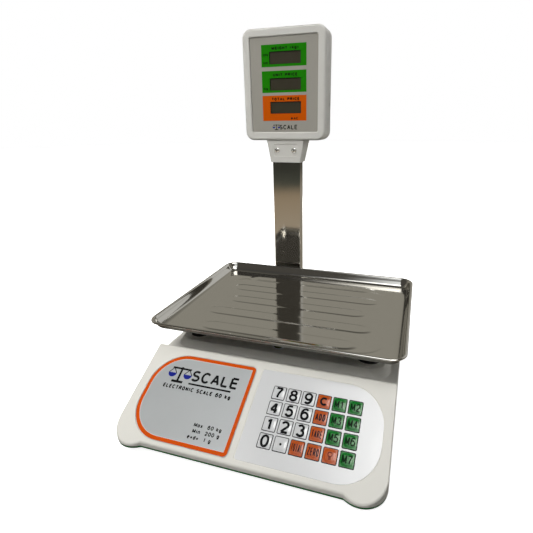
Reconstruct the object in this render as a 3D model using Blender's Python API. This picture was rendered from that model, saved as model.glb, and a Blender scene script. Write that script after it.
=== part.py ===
"""Price-computing shop scale with a pole display, as an assembly of separate pieces.

Metres, +Z up. The origin is the middle of the footprint on the counter, +X is to the
operator's right, and the operator stands at -Y.
"""

import math

import bmesh
import bpy
from mathutils import Matrix, Vector

GAP = 0.0003  # clearance between pieces that touch in the real scale
ROUND_STEPS = 24  # sides of a round piece

# Base, in plan
FRONT_EDGE_Y = -0.1975
LOBE_X, LOBE_Y, LOBE_RADIUS = 0.136, -0.1755, 0.027
NOTCH_RADIUS = 0.006
REAR_HALF_WIDTH, REAR_Y, REAR_CORNER = 0.160, 0.196, 0.024

# Base, in height
BASE_WALL = 0.0025
TRAY_BOTTOM, TRAY_TOP = 0.0103, 0.0134
SEAM_Z = TRAY_TOP + GAP
TRAY_LIP_TOP = 0.0150
LEDGE_Z, LEDGE_Y = 0.069, -0.083
RIDGE_Y, RIDGE_Z, RIDGE_WIDTH = -0.088, 0.079, 0.003
PANEL_TILT = math.radians(28.4)
DECK_Z, DECK_FRONT_Y, DECK_REAR_Y = 0.079, -0.063, 0.152
DECK_HALF_WIDTH, DECK_CORNER, DECK_FLARE = 0.145, 0.020, 0.006

# Sheets let into the sloping panel: x across it, and distance up the slope from the ridge
SHEET_RECESS, SHEET_BOTTOM, SHEET_TOP, SHEET_EDGE_GAP = -0.0009, -0.0006, 0.0001, 0.0004
LABEL_X, LABEL_UP, LABEL_RADII = (-0.1485, -0.0115), (-0.119, -0.009), (0.005, 0.045)
OVERLAY_X, OVERLAY_UP, OVERLAY_RADII = (-0.0025, 0.152), (-0.118, -0.009), (0.045, 0.003)

# Keys
KEY_ROWS = (
    ("7", "8", "9", "clear", "m1", "m2"),
    ("4", "5", "6", "add", "m3", "m4"),
    ("1", "2", "3", "tare", "m5", "m6"),
    ("0", "point", "total", "zero", "light", "m7"),
)
FIRST_KEY_X, FIRST_KEY_UP = 0.026, -0.036
KEY_PITCH_X, KEY_PITCH_UP = 0.0185, 0.0189
KEY_WIDTH, KEY_HEIGHT, KEY_CORNER = 0.0162, 0.0164, 0.0016
KEY_FLANGE, KEY_FLANGE_BOTTOM, KEY_FLANGE_TOP = 0.0006, -0.0017, -0.0009
KEY_RIM, KEY_CROWN = 0.0005, 0.0012
KEY_BOARD_TOP, KEY_BOARD_THICKNESS, KEY_BOARD_MARGIN = -0.0028, 0.0016, 0.004
KEY_WINDOW_MARGIN = 0.0014  # housing's opening past the outer keys, all round

# Weighing pan and what carries it
PAN_HALF_X, PAN_FRONT_Y, PAN_REAR_Y, PAN_CORNER = 0.170, -0.1013, 0.1574, 0.020
PAN_RIM_Z, PAN_FLOOR_Z, PAN_SHEET, PAN_FLARE = 0.120, 0.1065, 0.001, 0.016
CUSHION_X, CUSHION_FRONT_Y, CUSHION_REAR_Y = 0.123, -0.038, 0.094
CUSHION_RADIUS, CUSHION_TOP_RADIUS, CUSHION_BOTTOM_Z = 0.015, 0.012, 0.0723
CUP_HOLE_RADIUS, CUP_RING_RADIUS, CUP_RING_HEIGHT, CUP_RING_EDGE = 0.0165, 0.0186, 0.001, 0.0006
POST_RADIUS, POST_TOP = 0.005, 0.0905
ARM_BOTTOM, ARM_TOP, ARM_WIDTH = 0.062, 0.070, 0.022
CELL_LENGTH, CELL_WIDTH, CELL_BOTTOM, CELL_TOP = 0.130, 0.030, 0.028, 0.050
CELL_END = 0.030  # bolted length at each end of the load cell
CELL_HOLE_X, CELL_HOLE_RADIUS, CELL_SLOT_HALF = 0.013, 0.0082, 0.003

# Pole and display head
POLE_X, POLE_Y = -0.057, 0.1785
POLE_WIDTH, POLE_DEPTH, POLE_WALL = 0.050, 0.018, 0.0012
POLE_BOTTOM, POLE_TOP = 0.026, 0.339
HEAD_MID_Y, HEAD_HALF_DEPTH = 0.182, 0.0205
HEAD_HALF_WIDTH, HEAD_BOTTOM, HEAD_TOP, HEAD_CORNER = 0.0697, 0.3435, 0.5125, 0.014
HEAD_WALL = 0.0025
NECK_BOTTOM, NECK_HALF_TOP, NECK_HALF_BOTTOM = 0.307, 0.0335, 0.0266
NECK_OVERLAP = 0.006  # how far the neck's block reaches up into the head
NECK_SCREW_X, NECK_SCREW_Z, NECK_SCREW_HOLE = 0.015, 0.327, 0.002
FRONT_NECK = (0.0165, 0.0165)  # how far the neck stands from the head's middle, bottom and top
REAR_NECK = (0.0135, 0.0195)
DISPLAY_HALF_WIDTH, DISPLAY_BOTTOM, DISPLAY_TOP = 0.0566, 0.3571, 0.4994
DISPLAY_DEPTH, DISPLAY_THICKNESS = 0.0020, 0.0008
LCD_X, LCD_HALF_WIDTH, LCD_HALF_HEIGHT = 0.0023, 0.02635, 0.0092
LCD_HEIGHTS = (0.3950, 0.4304, 0.4692)
GLASS_MARGIN = 0.0016  # a glass past its window, all round

# Feet, services and the level
FOOT_PLACES = {
    "foot_front_left": (-0.137, -0.165),
    "foot_front_right": (0.137, -0.165),
    "foot_rear_left": (-0.135, 0.165),
    "foot_rear_right": (0.135, 0.165),
}
FOOT_RADIUS, FOOT_PAD_TOP, STUD_RADIUS, STUD_TOP = 0.011, 0.005, 0.004, 0.024
FOOT_BOSS_RADIUS, FOOT_BOSS_TOP, FOOT_HOLE_RADIUS = 0.009, 0.020, 0.0043
BATTERY_LOW, BATTERY_HIGH = (0.020, 0.100, 0.0131), (0.122, 0.170, 0.0601)
BATTERY_ROOM = 0.003  # the battery's opening past the battery, all round
SERVICE_Z = 0.040  # middle of the switch and the inlet in the rear wall
REAR_FLANGE = 0.0022  # how far their flanges reach past their bodies
SWITCH_X, SWITCH_HALF_X, SWITCH_HALF_Z, SWITCH_DEPTH = 0.060, 0.0102, 0.0072, 0.014
ROCKER_HALF_X, ROCKER_HALF_Z, ROCKER_PIVOT_INSET = 0.0084, 0.0052, 0.0005
SWITCH_TILT = math.radians(7)
INLET_X, INLET_HALF_X, INLET_HALF_Z, INLET_DEPTH = 0.108, 0.0137, 0.0099, 0.020
SOCKET_HALF_X, SOCKET_HALF_Z, SOCKET_DEPTH = 0.0122, 0.0084, 0.0130
INLET_PINS = ((-0.007, -0.002), (0, 0.002), (0.007, -0.002))
TRANSFORMER_X, TRANSFORMER_Y, TRANSFORMER_HEIGHT = -0.122, 0.120, 0.045
LEVEL_Y, LEVEL_RADIUS, LEVEL_HOLE = -0.046, 0.0088, 0.0081
BOARD_LOW, BOARD_HIGH = (-0.070, -0.082, 0.0220), (0.070, -0.012, 0.0236)
CABLE_RADIUS = 0.002
CABLE_ROUTE = (
    (-0.0730, -0.0300, 0.0228),
    (-0.0850, -0.0150, 0.0215),
    (-0.0900, 0.0200, 0.0190),
    (-0.0860, 0.0700, 0.0180),
    (-0.0760, 0.1200, 0.0180),
    (-0.0620, 0.1500, 0.0182),
    (-0.0570, 0.1650, 0.0190),
    (-0.0570, 0.1758, 0.0265),
    (-0.0570, 0.1785, 0.0450),
    (-0.0570, 0.1785, 0.3350),
    (-0.0570, 0.1765, 0.3520),
    (-0.0570, 0.1745, 0.3635),
)

PANEL = Matrix.Translation((0, RIDGE_Y, RIDGE_Z)) @ Matrix.Rotation(PANEL_TILT, 4, "X")

COLOURS = {  # name: colour, roughness, metallic
    "white_abs": ((0.80, 0.79, 0.75), 0.45, 0.0),
    "green_abs": ((0.01, 0.10, 0.03), 0.5, 0.0),
    "silver_label": ((0.45, 0.48, 0.50), 0.35, 0.3),
    "white_film": ((0.82, 0.82, 0.84), 0.3, 0.0),
    "white_key": ((0.85, 0.85, 0.86), 0.2, 0.0),
    "orange_key": ((0.60, 0.08, 0.02), 0.2, 0.0),
    "green_key": ((0.01, 0.22, 0.03), 0.2, 0.0),
    "stainless": ((0.55, 0.54, 0.52), 0.12, 1.0),
    "cast_aluminium": ((0.60, 0.61, 0.62), 0.45, 1.0),
    "black_rubber": ((0.012, 0.012, 0.012), 0.8, 0.0),
    "black_plastic": ((0.02, 0.02, 0.02), 0.4, 0.0),
    "grey_panel": ((0.27, 0.26, 0.24), 0.4, 0.0),
    "lcd_glass": ((0.04, 0.035, 0.025), 0.1, 0.0),
    "level_glass": ((0.70, 0.78, 0.60), 0.1, 0.0),
    "circuit_board": ((0.02, 0.16, 0.06), 0.5, 0.0),
    "battery_case": ((0.05, 0.05, 0.06), 0.5, 0.0),
    "steel": ((0.50, 0.50, 0.50), 0.35, 1.0),
}


def clear_scene():
    for obj in list(bpy.data.objects):
        bpy.data.objects.remove(obj, do_unlink=True)


def make_materials():
    made = {}
    for name, (colour, roughness, metallic) in COLOURS.items():
        made[name] = bpy.data.materials.new(name)
        made[name].use_nodes = True
        shader = made[name].node_tree.nodes["Principled BSDF"]
        shader.inputs["Base Color"].default_value = (*colour, 1.0)
        shader.inputs["Roughness"].default_value = roughness
        shader.inputs["Metallic"].default_value = metallic
    return made


# Outlines: lists of (across, up) points, anticlockwise


def arc(centre, radius, start, end, steps):
    """Points on an arc that runs from start to end, in degrees."""
    angles = [math.radians(start + (end - start) * i / steps) for i in range(steps + 1)]
    return [(centre[0] + radius * math.cos(a), centre[1] + radius * math.sin(a)) for a in angles]


def rounded(across, up, radii, steps=4, grow=0.0):
    """A rectangle from across[0] to across[1] and up[0] to up[1], grown all round by grow.

    radii is one corner radius, or (right corners, left corners).
    """
    right, left = radii if isinstance(radii, tuple) else (radii, radii)
    corners = (
        (across[1] - right, up[1] - right, right, 0),
        (across[0] + left, up[1] - left, left, 90),
        (across[0] + left, up[0] + left, left, 180),
        (across[1] - right, up[0] + right, right, 270),
    )
    points = []
    for x, y, radius, start in corners:
        points += arc((x, y), radius + grow, start, start + 90, steps)
    return points


def base_outline(inset=0.0):
    """Plan of the base: a straight front between two round lobes, and a round-cornered rear."""
    reach = LOBE_RADIUS + NOTCH_RADIUS
    notch_y = FRONT_EDGE_Y - NOTCH_RADIUS
    rise = LOBE_Y - notch_y
    notch_x = LOBE_X - math.sqrt(reach**2 - rise**2)
    meet = math.degrees(math.atan2(rise, LOBE_X - notch_x))
    rear = (REAR_HALF_WIDTH - REAR_CORNER, REAR_Y - REAR_CORNER)
    right = arc((notch_x, notch_y), NOTCH_RADIUS + inset, 90, meet, 2)
    right += arc((LOBE_X, LOBE_Y), LOBE_RADIUS - inset, meet - 180, 0, 7)[1:]
    right += arc(rear, REAR_CORNER - inset, 0, 90, 4)
    return right + [(-x, y) for x, y in reversed(right)]


def panel_outline(across, up, radii, grow=0.0):
    """Outline of a sheet on the sloping panel. Its large corner arcs need more steps."""
    return rounded(across, up, radii, steps=7, grow=grow)


# Solids


def as_object(name, mesh):
    """An object from a bmesh, with its faces turned outwards."""
    bmesh.ops.recalc_face_normals(mesh, faces=mesh.faces)
    data = bpy.data.meshes.new(name)
    mesh.to_mesh(data)
    mesh.free()
    obj = bpy.data.objects.new(name, data)
    bpy.context.scene.collection.objects.link(obj)
    return obj


def skin(name, rings):
    """A closed solid skinned over rings of points, with a flat face over each end ring."""
    mesh = bmesh.new()
    loops = [[mesh.verts.new(point) for point in ring] for ring in rings]
    for low, high in zip(loops, loops[1:]):
        for i, corner in enumerate(low):
            j = (i + 1) % len(low)
            mesh.faces.new((corner, low[j], high[j], high[i]))
    mesh.faces.new(reversed(loops[0]))
    mesh.faces.new(loops[-1])
    return as_object(name, mesh)


def prism(name, outline, low, high, frame=Matrix()):
    """An outline in a frame's XY plane, pulled along its Z from low to high."""
    return skin(name, [[frame @ Vector((x, y, z)) for x, y in outline] for z in (low, high)])


def box(name, low, high):
    outline = ((low[0], low[1]), (high[0], low[1]), (high[0], high[1]), (low[0], high[1]))
    return prism(name, outline, low[2], high[2])


def turned(name, profile, centre, axis="Z", steps=ROUND_STEPS):
    """A turned solid from (radius, height) points, about an axis through centre."""
    turn = Matrix.Rotation(math.radians(-90), 4, "X") if axis == "Y" else Matrix()
    place = Matrix.Translation(centre) @ turn
    rings = []
    for radius, height in profile:
        ring = arc((0, 0), radius, 0, 360 - 360 / steps, steps - 1)
        rings.append([place @ Vector((x, y, height)) for x, y in ring])
    return skin(name, rings)


def across_x(name, outline, low, high):
    """A (y, z) outline pulled along X from low to high."""
    return skin(name, [[Vector((x, y, z)) for y, z in outline] for x in (low, high)])


def along_y(name, outline, low, high):
    """An (x, z) outline pulled along Y from low to high."""
    return skin(name, [[Vector((x, y, z)) for x, z in outline] for y in (low, high)])


def combine(target, tools, operation):
    """Applies a Boolean of each tool to the target, and removes the tools."""
    for tool in tools:
        step = target.modifiers.new(operation, "BOOLEAN")
        step.operation = operation
        step.object = tool
        graph = bpy.context.evaluated_depsgraph_get()
        target_data = bpy.data.meshes.new_from_object(target.evaluated_get(graph))
        target.modifiers.clear()
        target.data = target_data
        bpy.data.objects.remove(tool, do_unlink=True)
    return target


def cut(target, *tools):
    return combine(target, tools, "DIFFERENCE")


def fuse(target, *tools):
    return combine(target, tools, "UNION")


def finish(obj, material, origin=None):
    """Gives a piece its material and smooth shading, and moves its origin to a point."""
    obj.data.materials.clear()
    obj.data.materials.append(material)
    obj.data.shade_smooth()
    obj.data.set_sharp_from_angle(angle=math.radians(32))
    if origin is not None:
        obj.data.transform(Matrix.Translation(-Vector(origin)))
        obj.location = origin
    return obj


# Base


def panel_height(y):
    """Height of the sloping panel's plane."""
    return RIDGE_Z - (RIDGE_Y - y) * math.tan(PANEL_TILT)


def sky(name, drop):
    """Everything above the housing's side profile, with the profile lowered by drop."""
    far, high = 0.26, 0.30
    slant = drop / math.cos(PANEL_TILT)
    profile = (
        (-far, panel_height(-far) - slant),
        (RIDGE_Y, RIDGE_Z - slant),
        (RIDGE_Y + RIDGE_WIDTH - drop, RIDGE_Z - slant),
        (LEDGE_Y - drop, LEDGE_Z - drop),
        (far, LEDGE_Z - drop),
        (far, high),
        (-far, high),
    )
    return across_x(name, profile, -far, far)


def deck(name, inset):
    """The raised deck under the pan, with flared sides, drawn in by inset."""
    rings = []
    depth = (DECK_Z - LEDGE_Z) * 1.4  # the sides run on down into the ledge
    for flare, z in ((DECK_FLARE * 1.4, DECK_Z - depth - inset), (0, DECK_Z - inset)):
        half = DECK_HALF_WIDTH + flare
        outline = rounded(
            (-half, half), (DECK_FRONT_Y - flare, DECK_REAR_Y + flare), DECK_CORNER, grow=-inset
        )
        rings.append([Vector((x, y, z)) for x, y in outline])
    return skin(name, rings)


def housing_block(name, inset, bottom):
    """The housing's shape as a solid block, drawn in by inset."""
    block = prism(name, base_outline(inset), bottom, 0.1)
    cut(block, sky("sky", inset))
    return fuse(block, deck("deck", inset))


def cushion_places():
    return {
        "cushion_front_left": (-CUSHION_X, CUSHION_FRONT_Y),
        "cushion_front_right": (CUSHION_X, CUSHION_FRONT_Y),
        "cushion_rear_left": (-CUSHION_X, CUSHION_REAR_Y),
        "cushion_rear_right": (CUSHION_X, CUSHION_REAR_Y),
    }


def key_window(margin=KEY_WINDOW_MARGIN):
    """The opening under the whole block of keys, as (across, up) limits."""
    reach_x, reach_up = KEY_WIDTH / 2 + margin, KEY_HEIGHT / 2 + margin
    last_x = FIRST_KEY_X + KEY_PITCH_X * (len(KEY_ROWS[0]) - 1)
    last_up = FIRST_KEY_UP - KEY_PITCH_UP * (len(KEY_ROWS) - 1)
    across = (FIRST_KEY_X - reach_x, last_x + reach_x)
    up = (last_up - reach_up, FIRST_KEY_UP + reach_up)
    return across, up


def make_upper_housing(paint):
    housing = housing_block("upper_housing", 0.0, SEAM_Z)
    cut(housing, housing_block("inside", BASE_WALL, SEAM_Z - 0.01))
    ring = (
        (CUP_RING_RADIUS, -BASE_WALL / 2),
        (CUP_RING_RADIUS, CUP_RING_HEIGHT - CUP_RING_EDGE),
        (CUP_RING_RADIUS - CUP_RING_EDGE, CUP_RING_HEIGHT),
    )
    for x, y in cushion_places().values():
        fuse(housing, turned("ring", ring, (x, y, DECK_Z)))
        cut(housing, drill(CUP_HOLE_RADIUS, (x, y, DECK_Z)))
    cut(housing, drill(LEVEL_HOLE, (0, LEVEL_Y, DECK_Z)))
    for across, up, radii in ((LABEL_X, LABEL_UP, LABEL_RADII), (OVERLAY_X, OVERLAY_UP, OVERLAY_RADII)):
        outline = panel_outline(across, up, radii, grow=SHEET_EDGE_GAP)
        cut(housing, prism("recess", outline, SHEET_RECESS, 0.01, PANEL))
    cut(housing, prism("window", rounded(*key_window(), 0.002, 1), -0.01, 0.01, PANEL))
    half_x, half_y = POLE_WIDTH / 2 + 2 * GAP, POLE_DEPTH / 2 + 2 * GAP
    low, high = (POLE_X - half_x, POLE_Y - half_y, 0.05), (POLE_X + half_x, POLE_Y + half_y, 0.09)
    cut(
        housing,
        box("hole", low, high),
        rear_hole(SWITCH_X, SWITCH_HALF_X + GAP, SWITCH_HALF_Z + GAP),
        rear_hole(INLET_X, INLET_HALF_X + GAP, INLET_HALF_Z + GAP),
    )
    return finish(housing, paint["white_abs"])


def drill(radius, centre, axis="Z", reach=0.01, steps=ROUND_STEPS):
    """A cutter for a round hole that reaches the same distance to both sides of its centre."""
    return turned("hole", ((radius, -reach), (radius, reach)), centre, axis, steps)


def rear_hole(x, half_x, half_z):
    """A cutter for a cut-out in the rear wall."""
    low = (x - half_x, REAR_Y - 0.006, SERVICE_Z - half_z)
    return box("hole", low, (x + half_x, REAR_Y + 0.006, SERVICE_Z + half_z))


def make_lower_base(paint):
    base = prism("lower_base", base_outline(0.0004), TRAY_BOTTOM, TRAY_TOP)
    lip_outside, lip_inside = BASE_WALL + 0.0004, BASE_WALL + 0.0024
    lip = prism("lip", base_outline(lip_outside), TRAY_TOP - 0.001, TRAY_LIP_TOP)
    cut(lip, prism("inside", base_outline(lip_inside), TRAY_TOP - 0.002, 0.03))
    fuse(base, lip)
    boss = ((FOOT_BOSS_RADIUS, TRAY_BOTTOM + 0.001), (FOOT_BOSS_RADIUS, FOOT_BOSS_TOP))
    for x, y in FOOT_PLACES.values():
        fuse(base, turned("boss", boss, (x, y, 0)))
        cut(base, drill(FOOT_HOLE_RADIUS, (x, y, TRAY_TOP)))
    post = ((0.003, TRAY_BOTTOM + 0.001), (0.003, BOARD_LOW[2] - GAP))
    for x in (BOARD_LOW[0] + 0.006, BOARD_HIGH[0] - 0.006):
        for y in (BOARD_LOW[1] + 0.006, BOARD_HIGH[1] - 0.006):
            fuse(base, turned("post", post, (x, y, 0), steps=8))
    cut(base, battery_opening("hole", 0.0, 0, 0.03))
    return finish(base, paint["green_abs"])


def battery_opening(name, inset, low, high):
    margin = BATTERY_ROOM - inset
    return box(
        name,
        (BATTERY_LOW[0] - margin, BATTERY_LOW[1] - margin, low),
        (BATTERY_HIGH[0] + margin, BATTERY_HIGH[1] + margin, high),
    )


def make_battery(paint):
    door = battery_opening("battery_door", 0.0004, TRAY_BOTTOM, 0.0128)
    finish(door, paint["green_abs"])
    case = box("battery", BATTERY_LOW, BATTERY_HIGH)
    side, tab_z = BATTERY_LOW[0], BATTERY_HIGH[2] - 0.010
    for y in (BATTERY_LOW[1] + 0.015, BATTERY_HIGH[1] - 0.015):
        fuse(case, box("tab", (side - 0.005, y - 0.0024, tab_z), (side + 0.002, y + 0.0024, tab_z + 0.0008)))
    finish(case, paint["battery_case"])


def make_feet(paint):
    profile = (
        (FOOT_RADIUS - 0.001, 0),
        (FOOT_RADIUS, 0.001),
        (FOOT_RADIUS, FOOT_PAD_TOP - 0.001),
        (FOOT_RADIUS - 0.002, FOOT_PAD_TOP),
        (STUD_RADIUS, FOOT_PAD_TOP),
        (STUD_RADIUS, STUD_TOP - 0.0008),
        (STUD_RADIUS - 0.0008, STUD_TOP),
    )
    for name, (x, y) in FOOT_PLACES.items():
        finish(turned(name, profile, (x, y, 0), steps=16), paint["black_rubber"], (x, y, 0))


# Panel: label, overlay, keys


def make_panel_sheets(paint):
    frame = bpy.data.objects.new("panel_frame", None)
    frame.matrix_world = PANEL
    bpy.context.scene.collection.objects.link(frame)

    label = prism("label_plate", panel_outline(LABEL_X, LABEL_UP, LABEL_RADII), SHEET_BOTTOM, SHEET_TOP)
    finish(label, paint["silver_label"])
    label.parent = frame

    overlay_outline = panel_outline(OVERLAY_X, OVERLAY_UP, OVERLAY_RADII)
    overlay = prism("keypad_overlay", overlay_outline, SHEET_BOTTOM, SHEET_TOP)
    for x, up in key_places().values():
        half_x, half_up = KEY_WIDTH / 2 + GAP, KEY_HEIGHT / 2 + GAP
        outline = rounded((x - half_x, x + half_x), (up - half_up, up + half_up), KEY_CORNER, 1)
        cut(overlay, prism("window", outline, -0.01, 0.01))
    finish(overlay, paint["white_film"])
    overlay.parent = frame

    across, up = key_window(KEY_WINDOW_MARGIN + KEY_BOARD_MARGIN)
    low, high = (across[0], up[0], KEY_BOARD_TOP - KEY_BOARD_THICKNESS), (across[1], up[1], KEY_BOARD_TOP)
    board = box("keypad_board", low, high)
    finish(board, paint["circuit_board"])
    board.parent = frame
    return frame


def key_places():
    """Key name to its middle on the panel, as (across, up)."""
    places = {}
    for row, names in enumerate(KEY_ROWS):
        for column, name in enumerate(names):
            places["key_" + name] = (
                FIRST_KEY_X + KEY_PITCH_X * column,
                FIRST_KEY_UP - KEY_PITCH_UP * row,
            )
    return places


def key_colour(name):
    if name.startswith("key_m"):
        return "green_key"
    word = name in ("key_clear", "key_add", "key_tare", "key_total", "key_zero", "key_light")
    return "orange_key" if word else "white_key"


def key_ring(grow, z):
    half_x, half_up = KEY_WIDTH / 2, KEY_HEIGHT / 2
    outline = rounded((-half_x, half_x), (-half_up, half_up), KEY_CORNER + 0.0008, 1, grow=grow)
    return [Vector((x, y, z)) for x, y in outline]


def make_keys(paint, frame):
    """Each key has a flange under the overlay, and a cap that stands through its window."""
    rings = [
        key_ring(KEY_FLANGE, KEY_FLANGE_BOTTOM),
        key_ring(KEY_FLANGE, KEY_FLANGE_TOP),
        key_ring(0, KEY_FLANGE_TOP),
        key_ring(0, KEY_RIM),
        key_ring(-0.0022, KEY_CROWN),
    ]
    for name, (x, up) in key_places().items():
        key = finish(skin(name, rings), paint[key_colour(name)])
        key.parent = frame
        key.location = (x, up, 0)


# Pan, cushions, pan support and load cell


def pan_ring(inset, z):
    """The pan's outline, drawn in by inset. The corners grow tighter as it shrinks."""
    outline = rounded(
        (-PAN_HALF_X, PAN_HALF_X), (PAN_FRONT_Y, PAN_REAR_Y), PAN_CORNER, steps=5, grow=-inset
    )
    return [Vector((x, y, z)) for x, y in outline]


def make_pan(paint):
    """One pressed sheet: floor, flared wall, and a lip rolled outwards and down."""
    lip = 0.005
    rings = [
        pan_ring(PAN_FLARE, PAN_FLOOR_Z - PAN_SHEET),
        pan_ring(PAN_FLARE - 0.002, PAN_FLOOR_Z - PAN_SHEET + 0.0008),
        pan_ring(lip, PAN_RIM_Z - 0.003),
        pan_ring(lip - 0.003, PAN_RIM_Z - 0.0035),
        pan_ring(0.0008, PAN_RIM_Z - 0.005),
        pan_ring(0, PAN_RIM_Z - 0.004),
        pan_ring(0.0004, PAN_RIM_Z - 0.0012),
        pan_ring(0.0018, PAN_RIM_Z),
        pan_ring(lip - 0.0006, PAN_RIM_Z - 0.0008),
        pan_ring(PAN_FLARE - 0.0012, PAN_FLOOR_Z + 0.0012),
        pan_ring(PAN_FLARE + 0.001, PAN_FLOOR_Z),
    ]
    finish(skin("weighing_pan", rings), paint["stainless"], (0, platform_y(), PAN_FLOOR_Z))


def platform_y():
    return (CUSHION_FRONT_Y + CUSHION_REAR_Y) / 2


def make_cushions(paint):
    """Each rubber cushion is pushed over a post of the pan support and carries the pan."""
    top = PAN_FLOOR_Z - PAN_SHEET - GAP
    bore = POST_RADIUS + GAP
    profile = (
        (bore, POST_TOP + 0.0005),
        (bore, CUSHION_BOTTOM_Z),
        (CUSHION_RADIUS, CUSHION_BOTTOM_Z),
        (CUSHION_RADIUS, DECK_Z + 0.002),
        (CUSHION_TOP_RADIUS, top - 0.001),
        (CUSHION_TOP_RADIUS - 0.001, top),
    )
    for name, (x, y) in cushion_places().items():
        cushion = turned(name, profile, (x, y, 0), steps=20)
        finish(cushion, paint["black_rubber"], (x, y, CUSHION_BOTTOM_Z))


def make_pan_support(paint):
    """A cast cross with a post at each corner, bolted to the free end of the load cell."""
    middle = Vector((0, platform_y(), 0))
    support = None
    for side in (-1, 1):
        corner = Vector((CUSHION_X, side * (CUSHION_REAR_Y - CUSHION_FRONT_Y) / 2, 0))
        edge = corner.normalized().cross(Vector((0, 0, 1))) * ARM_WIDTH / 2
        outline = [middle + p for p in (corner + edge, -corner + edge, -corner - edge, corner - edge)]
        arm = prism("pan_support", [(p.x, p.y) for p in outline], ARM_BOTTOM, ARM_TOP)
        support = fuse(support, arm) if support else arm
    cell_half = CELL_WIDTH / 2
    free_end = (CELL_LENGTH / 2 - CELL_END, middle.y - cell_half, CELL_TOP + GAP)
    fuse(support, box("boss", free_end, (CELL_LENGTH / 2, middle.y + cell_half, ARM_TOP - 0.001)))
    pad_top = CUSHION_BOTTOM_Z - GAP
    for x, y in cushion_places().values():
        profile = (
            (0.014, ARM_BOTTOM - 0.0005),
            (0.014, pad_top),
            (POST_RADIUS, pad_top),
            (POST_RADIUS, POST_TOP - 0.001),
            (POST_RADIUS - 0.001, POST_TOP),
        )
        fuse(support, turned("post", profile, (x, y, 0), steps=16))
    finish(support, paint["cast_aluminium"], (0, middle.y, ARM_BOTTOM))


def make_load_cell(paint):
    """A bending bar with the two joined holes that make its middle flex, and its foot."""
    y, half = platform_y(), CELL_WIDTH / 2
    low, high = (-CELL_LENGTH / 2, y - half, CELL_BOTTOM), (CELL_LENGTH / 2, y + half, CELL_TOP)
    bar = box("load_cell", low, high)
    middle_z = (CELL_BOTTOM + CELL_TOP) / 2
    for x in (-CELL_HOLE_X, CELL_HOLE_X):
        cut(bar, drill(CELL_HOLE_RADIUS, (x, y, middle_z), "Y", reach=half + 0.005, steps=16))
    slot_low = (-CELL_HOLE_X, y - half - 0.005, middle_z - CELL_SLOT_HALF)
    cut(bar, box("slot", slot_low, (CELL_HOLE_X, y + half + 0.005, middle_z + CELL_SLOT_HALF)))
    finish(bar, paint["cast_aluminium"], (-CELL_LENGTH / 2, y, CELL_BOTTOM))

    foot_low = (low[0], low[1], TRAY_TOP + GAP)
    foot_high = (low[0] + CELL_END, high[1], CELL_BOTTOM - GAP)
    finish(box("load_cell_mount", foot_low, foot_high), paint["steel"])


# Pole, bracket and display head


def make_pole(paint):
    half_x, half_y = POLE_WIDTH / 2, POLE_DEPTH / 2
    across, up = (POLE_X - half_x, POLE_X + half_x), (POLE_Y - half_y, POLE_Y + half_y)
    pole = prism("pole", rounded(across, up, 0.0022, 3), POLE_BOTTOM, POLE_TOP)
    bore = rounded(across, up, 0.0022, 3, grow=-POLE_WALL)
    cut(pole, prism("bore", bore, POLE_BOTTOM - 0.01, POLE_TOP + 0.01))
    for side in (-1, 1):
        centre = (POLE_X + side * NECK_SCREW_X, POLE_Y - half_y, NECK_SCREW_Z)
        cut(pole, drill(NECK_SCREW_HOLE, centre, "Y", reach=0.003, steps=12))
    finish(pole, paint["stainless"], (POLE_X, POLE_Y, POLE_BOTTOM))


def make_pole_bracket(paint):
    """A folded steel bracket on the base, with an ear on each side of the pole."""
    outside, thickness = POLE_WIDTH / 2 + GAP, 0.002
    floor, plate_top = TRAY_TOP + GAP, TRAY_TOP + GAP + thickness
    half_y = 0.011
    bracket = box(
        "pole_bracket",
        (POLE_X - outside - 0.010, POLE_Y - half_y, floor),
        (POLE_X + outside + 0.010, POLE_Y + half_y, plate_top),
    )
    for side in (-1, 1):
        near, far = POLE_X + side * outside, POLE_X + side * (outside + thickness)
        low = (min(near, far), POLE_Y - half_y, floor + 0.001)
        fuse(bracket, box("ear", low, (max(near, far), POLE_Y + half_y, 0.060)))
    finish(bracket, paint["steel"], (POLE_X, POLE_Y, floor))


def head_ring(inset, y):
    half = HEAD_HALF_WIDTH
    outline = rounded(
        (POLE_X - half, POLE_X + half), (HEAD_BOTTOM, HEAD_TOP), HEAD_CORNER, steps=4, grow=-inset
    )
    return [Vector((x, y, z)) for x, z in outline]


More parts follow.
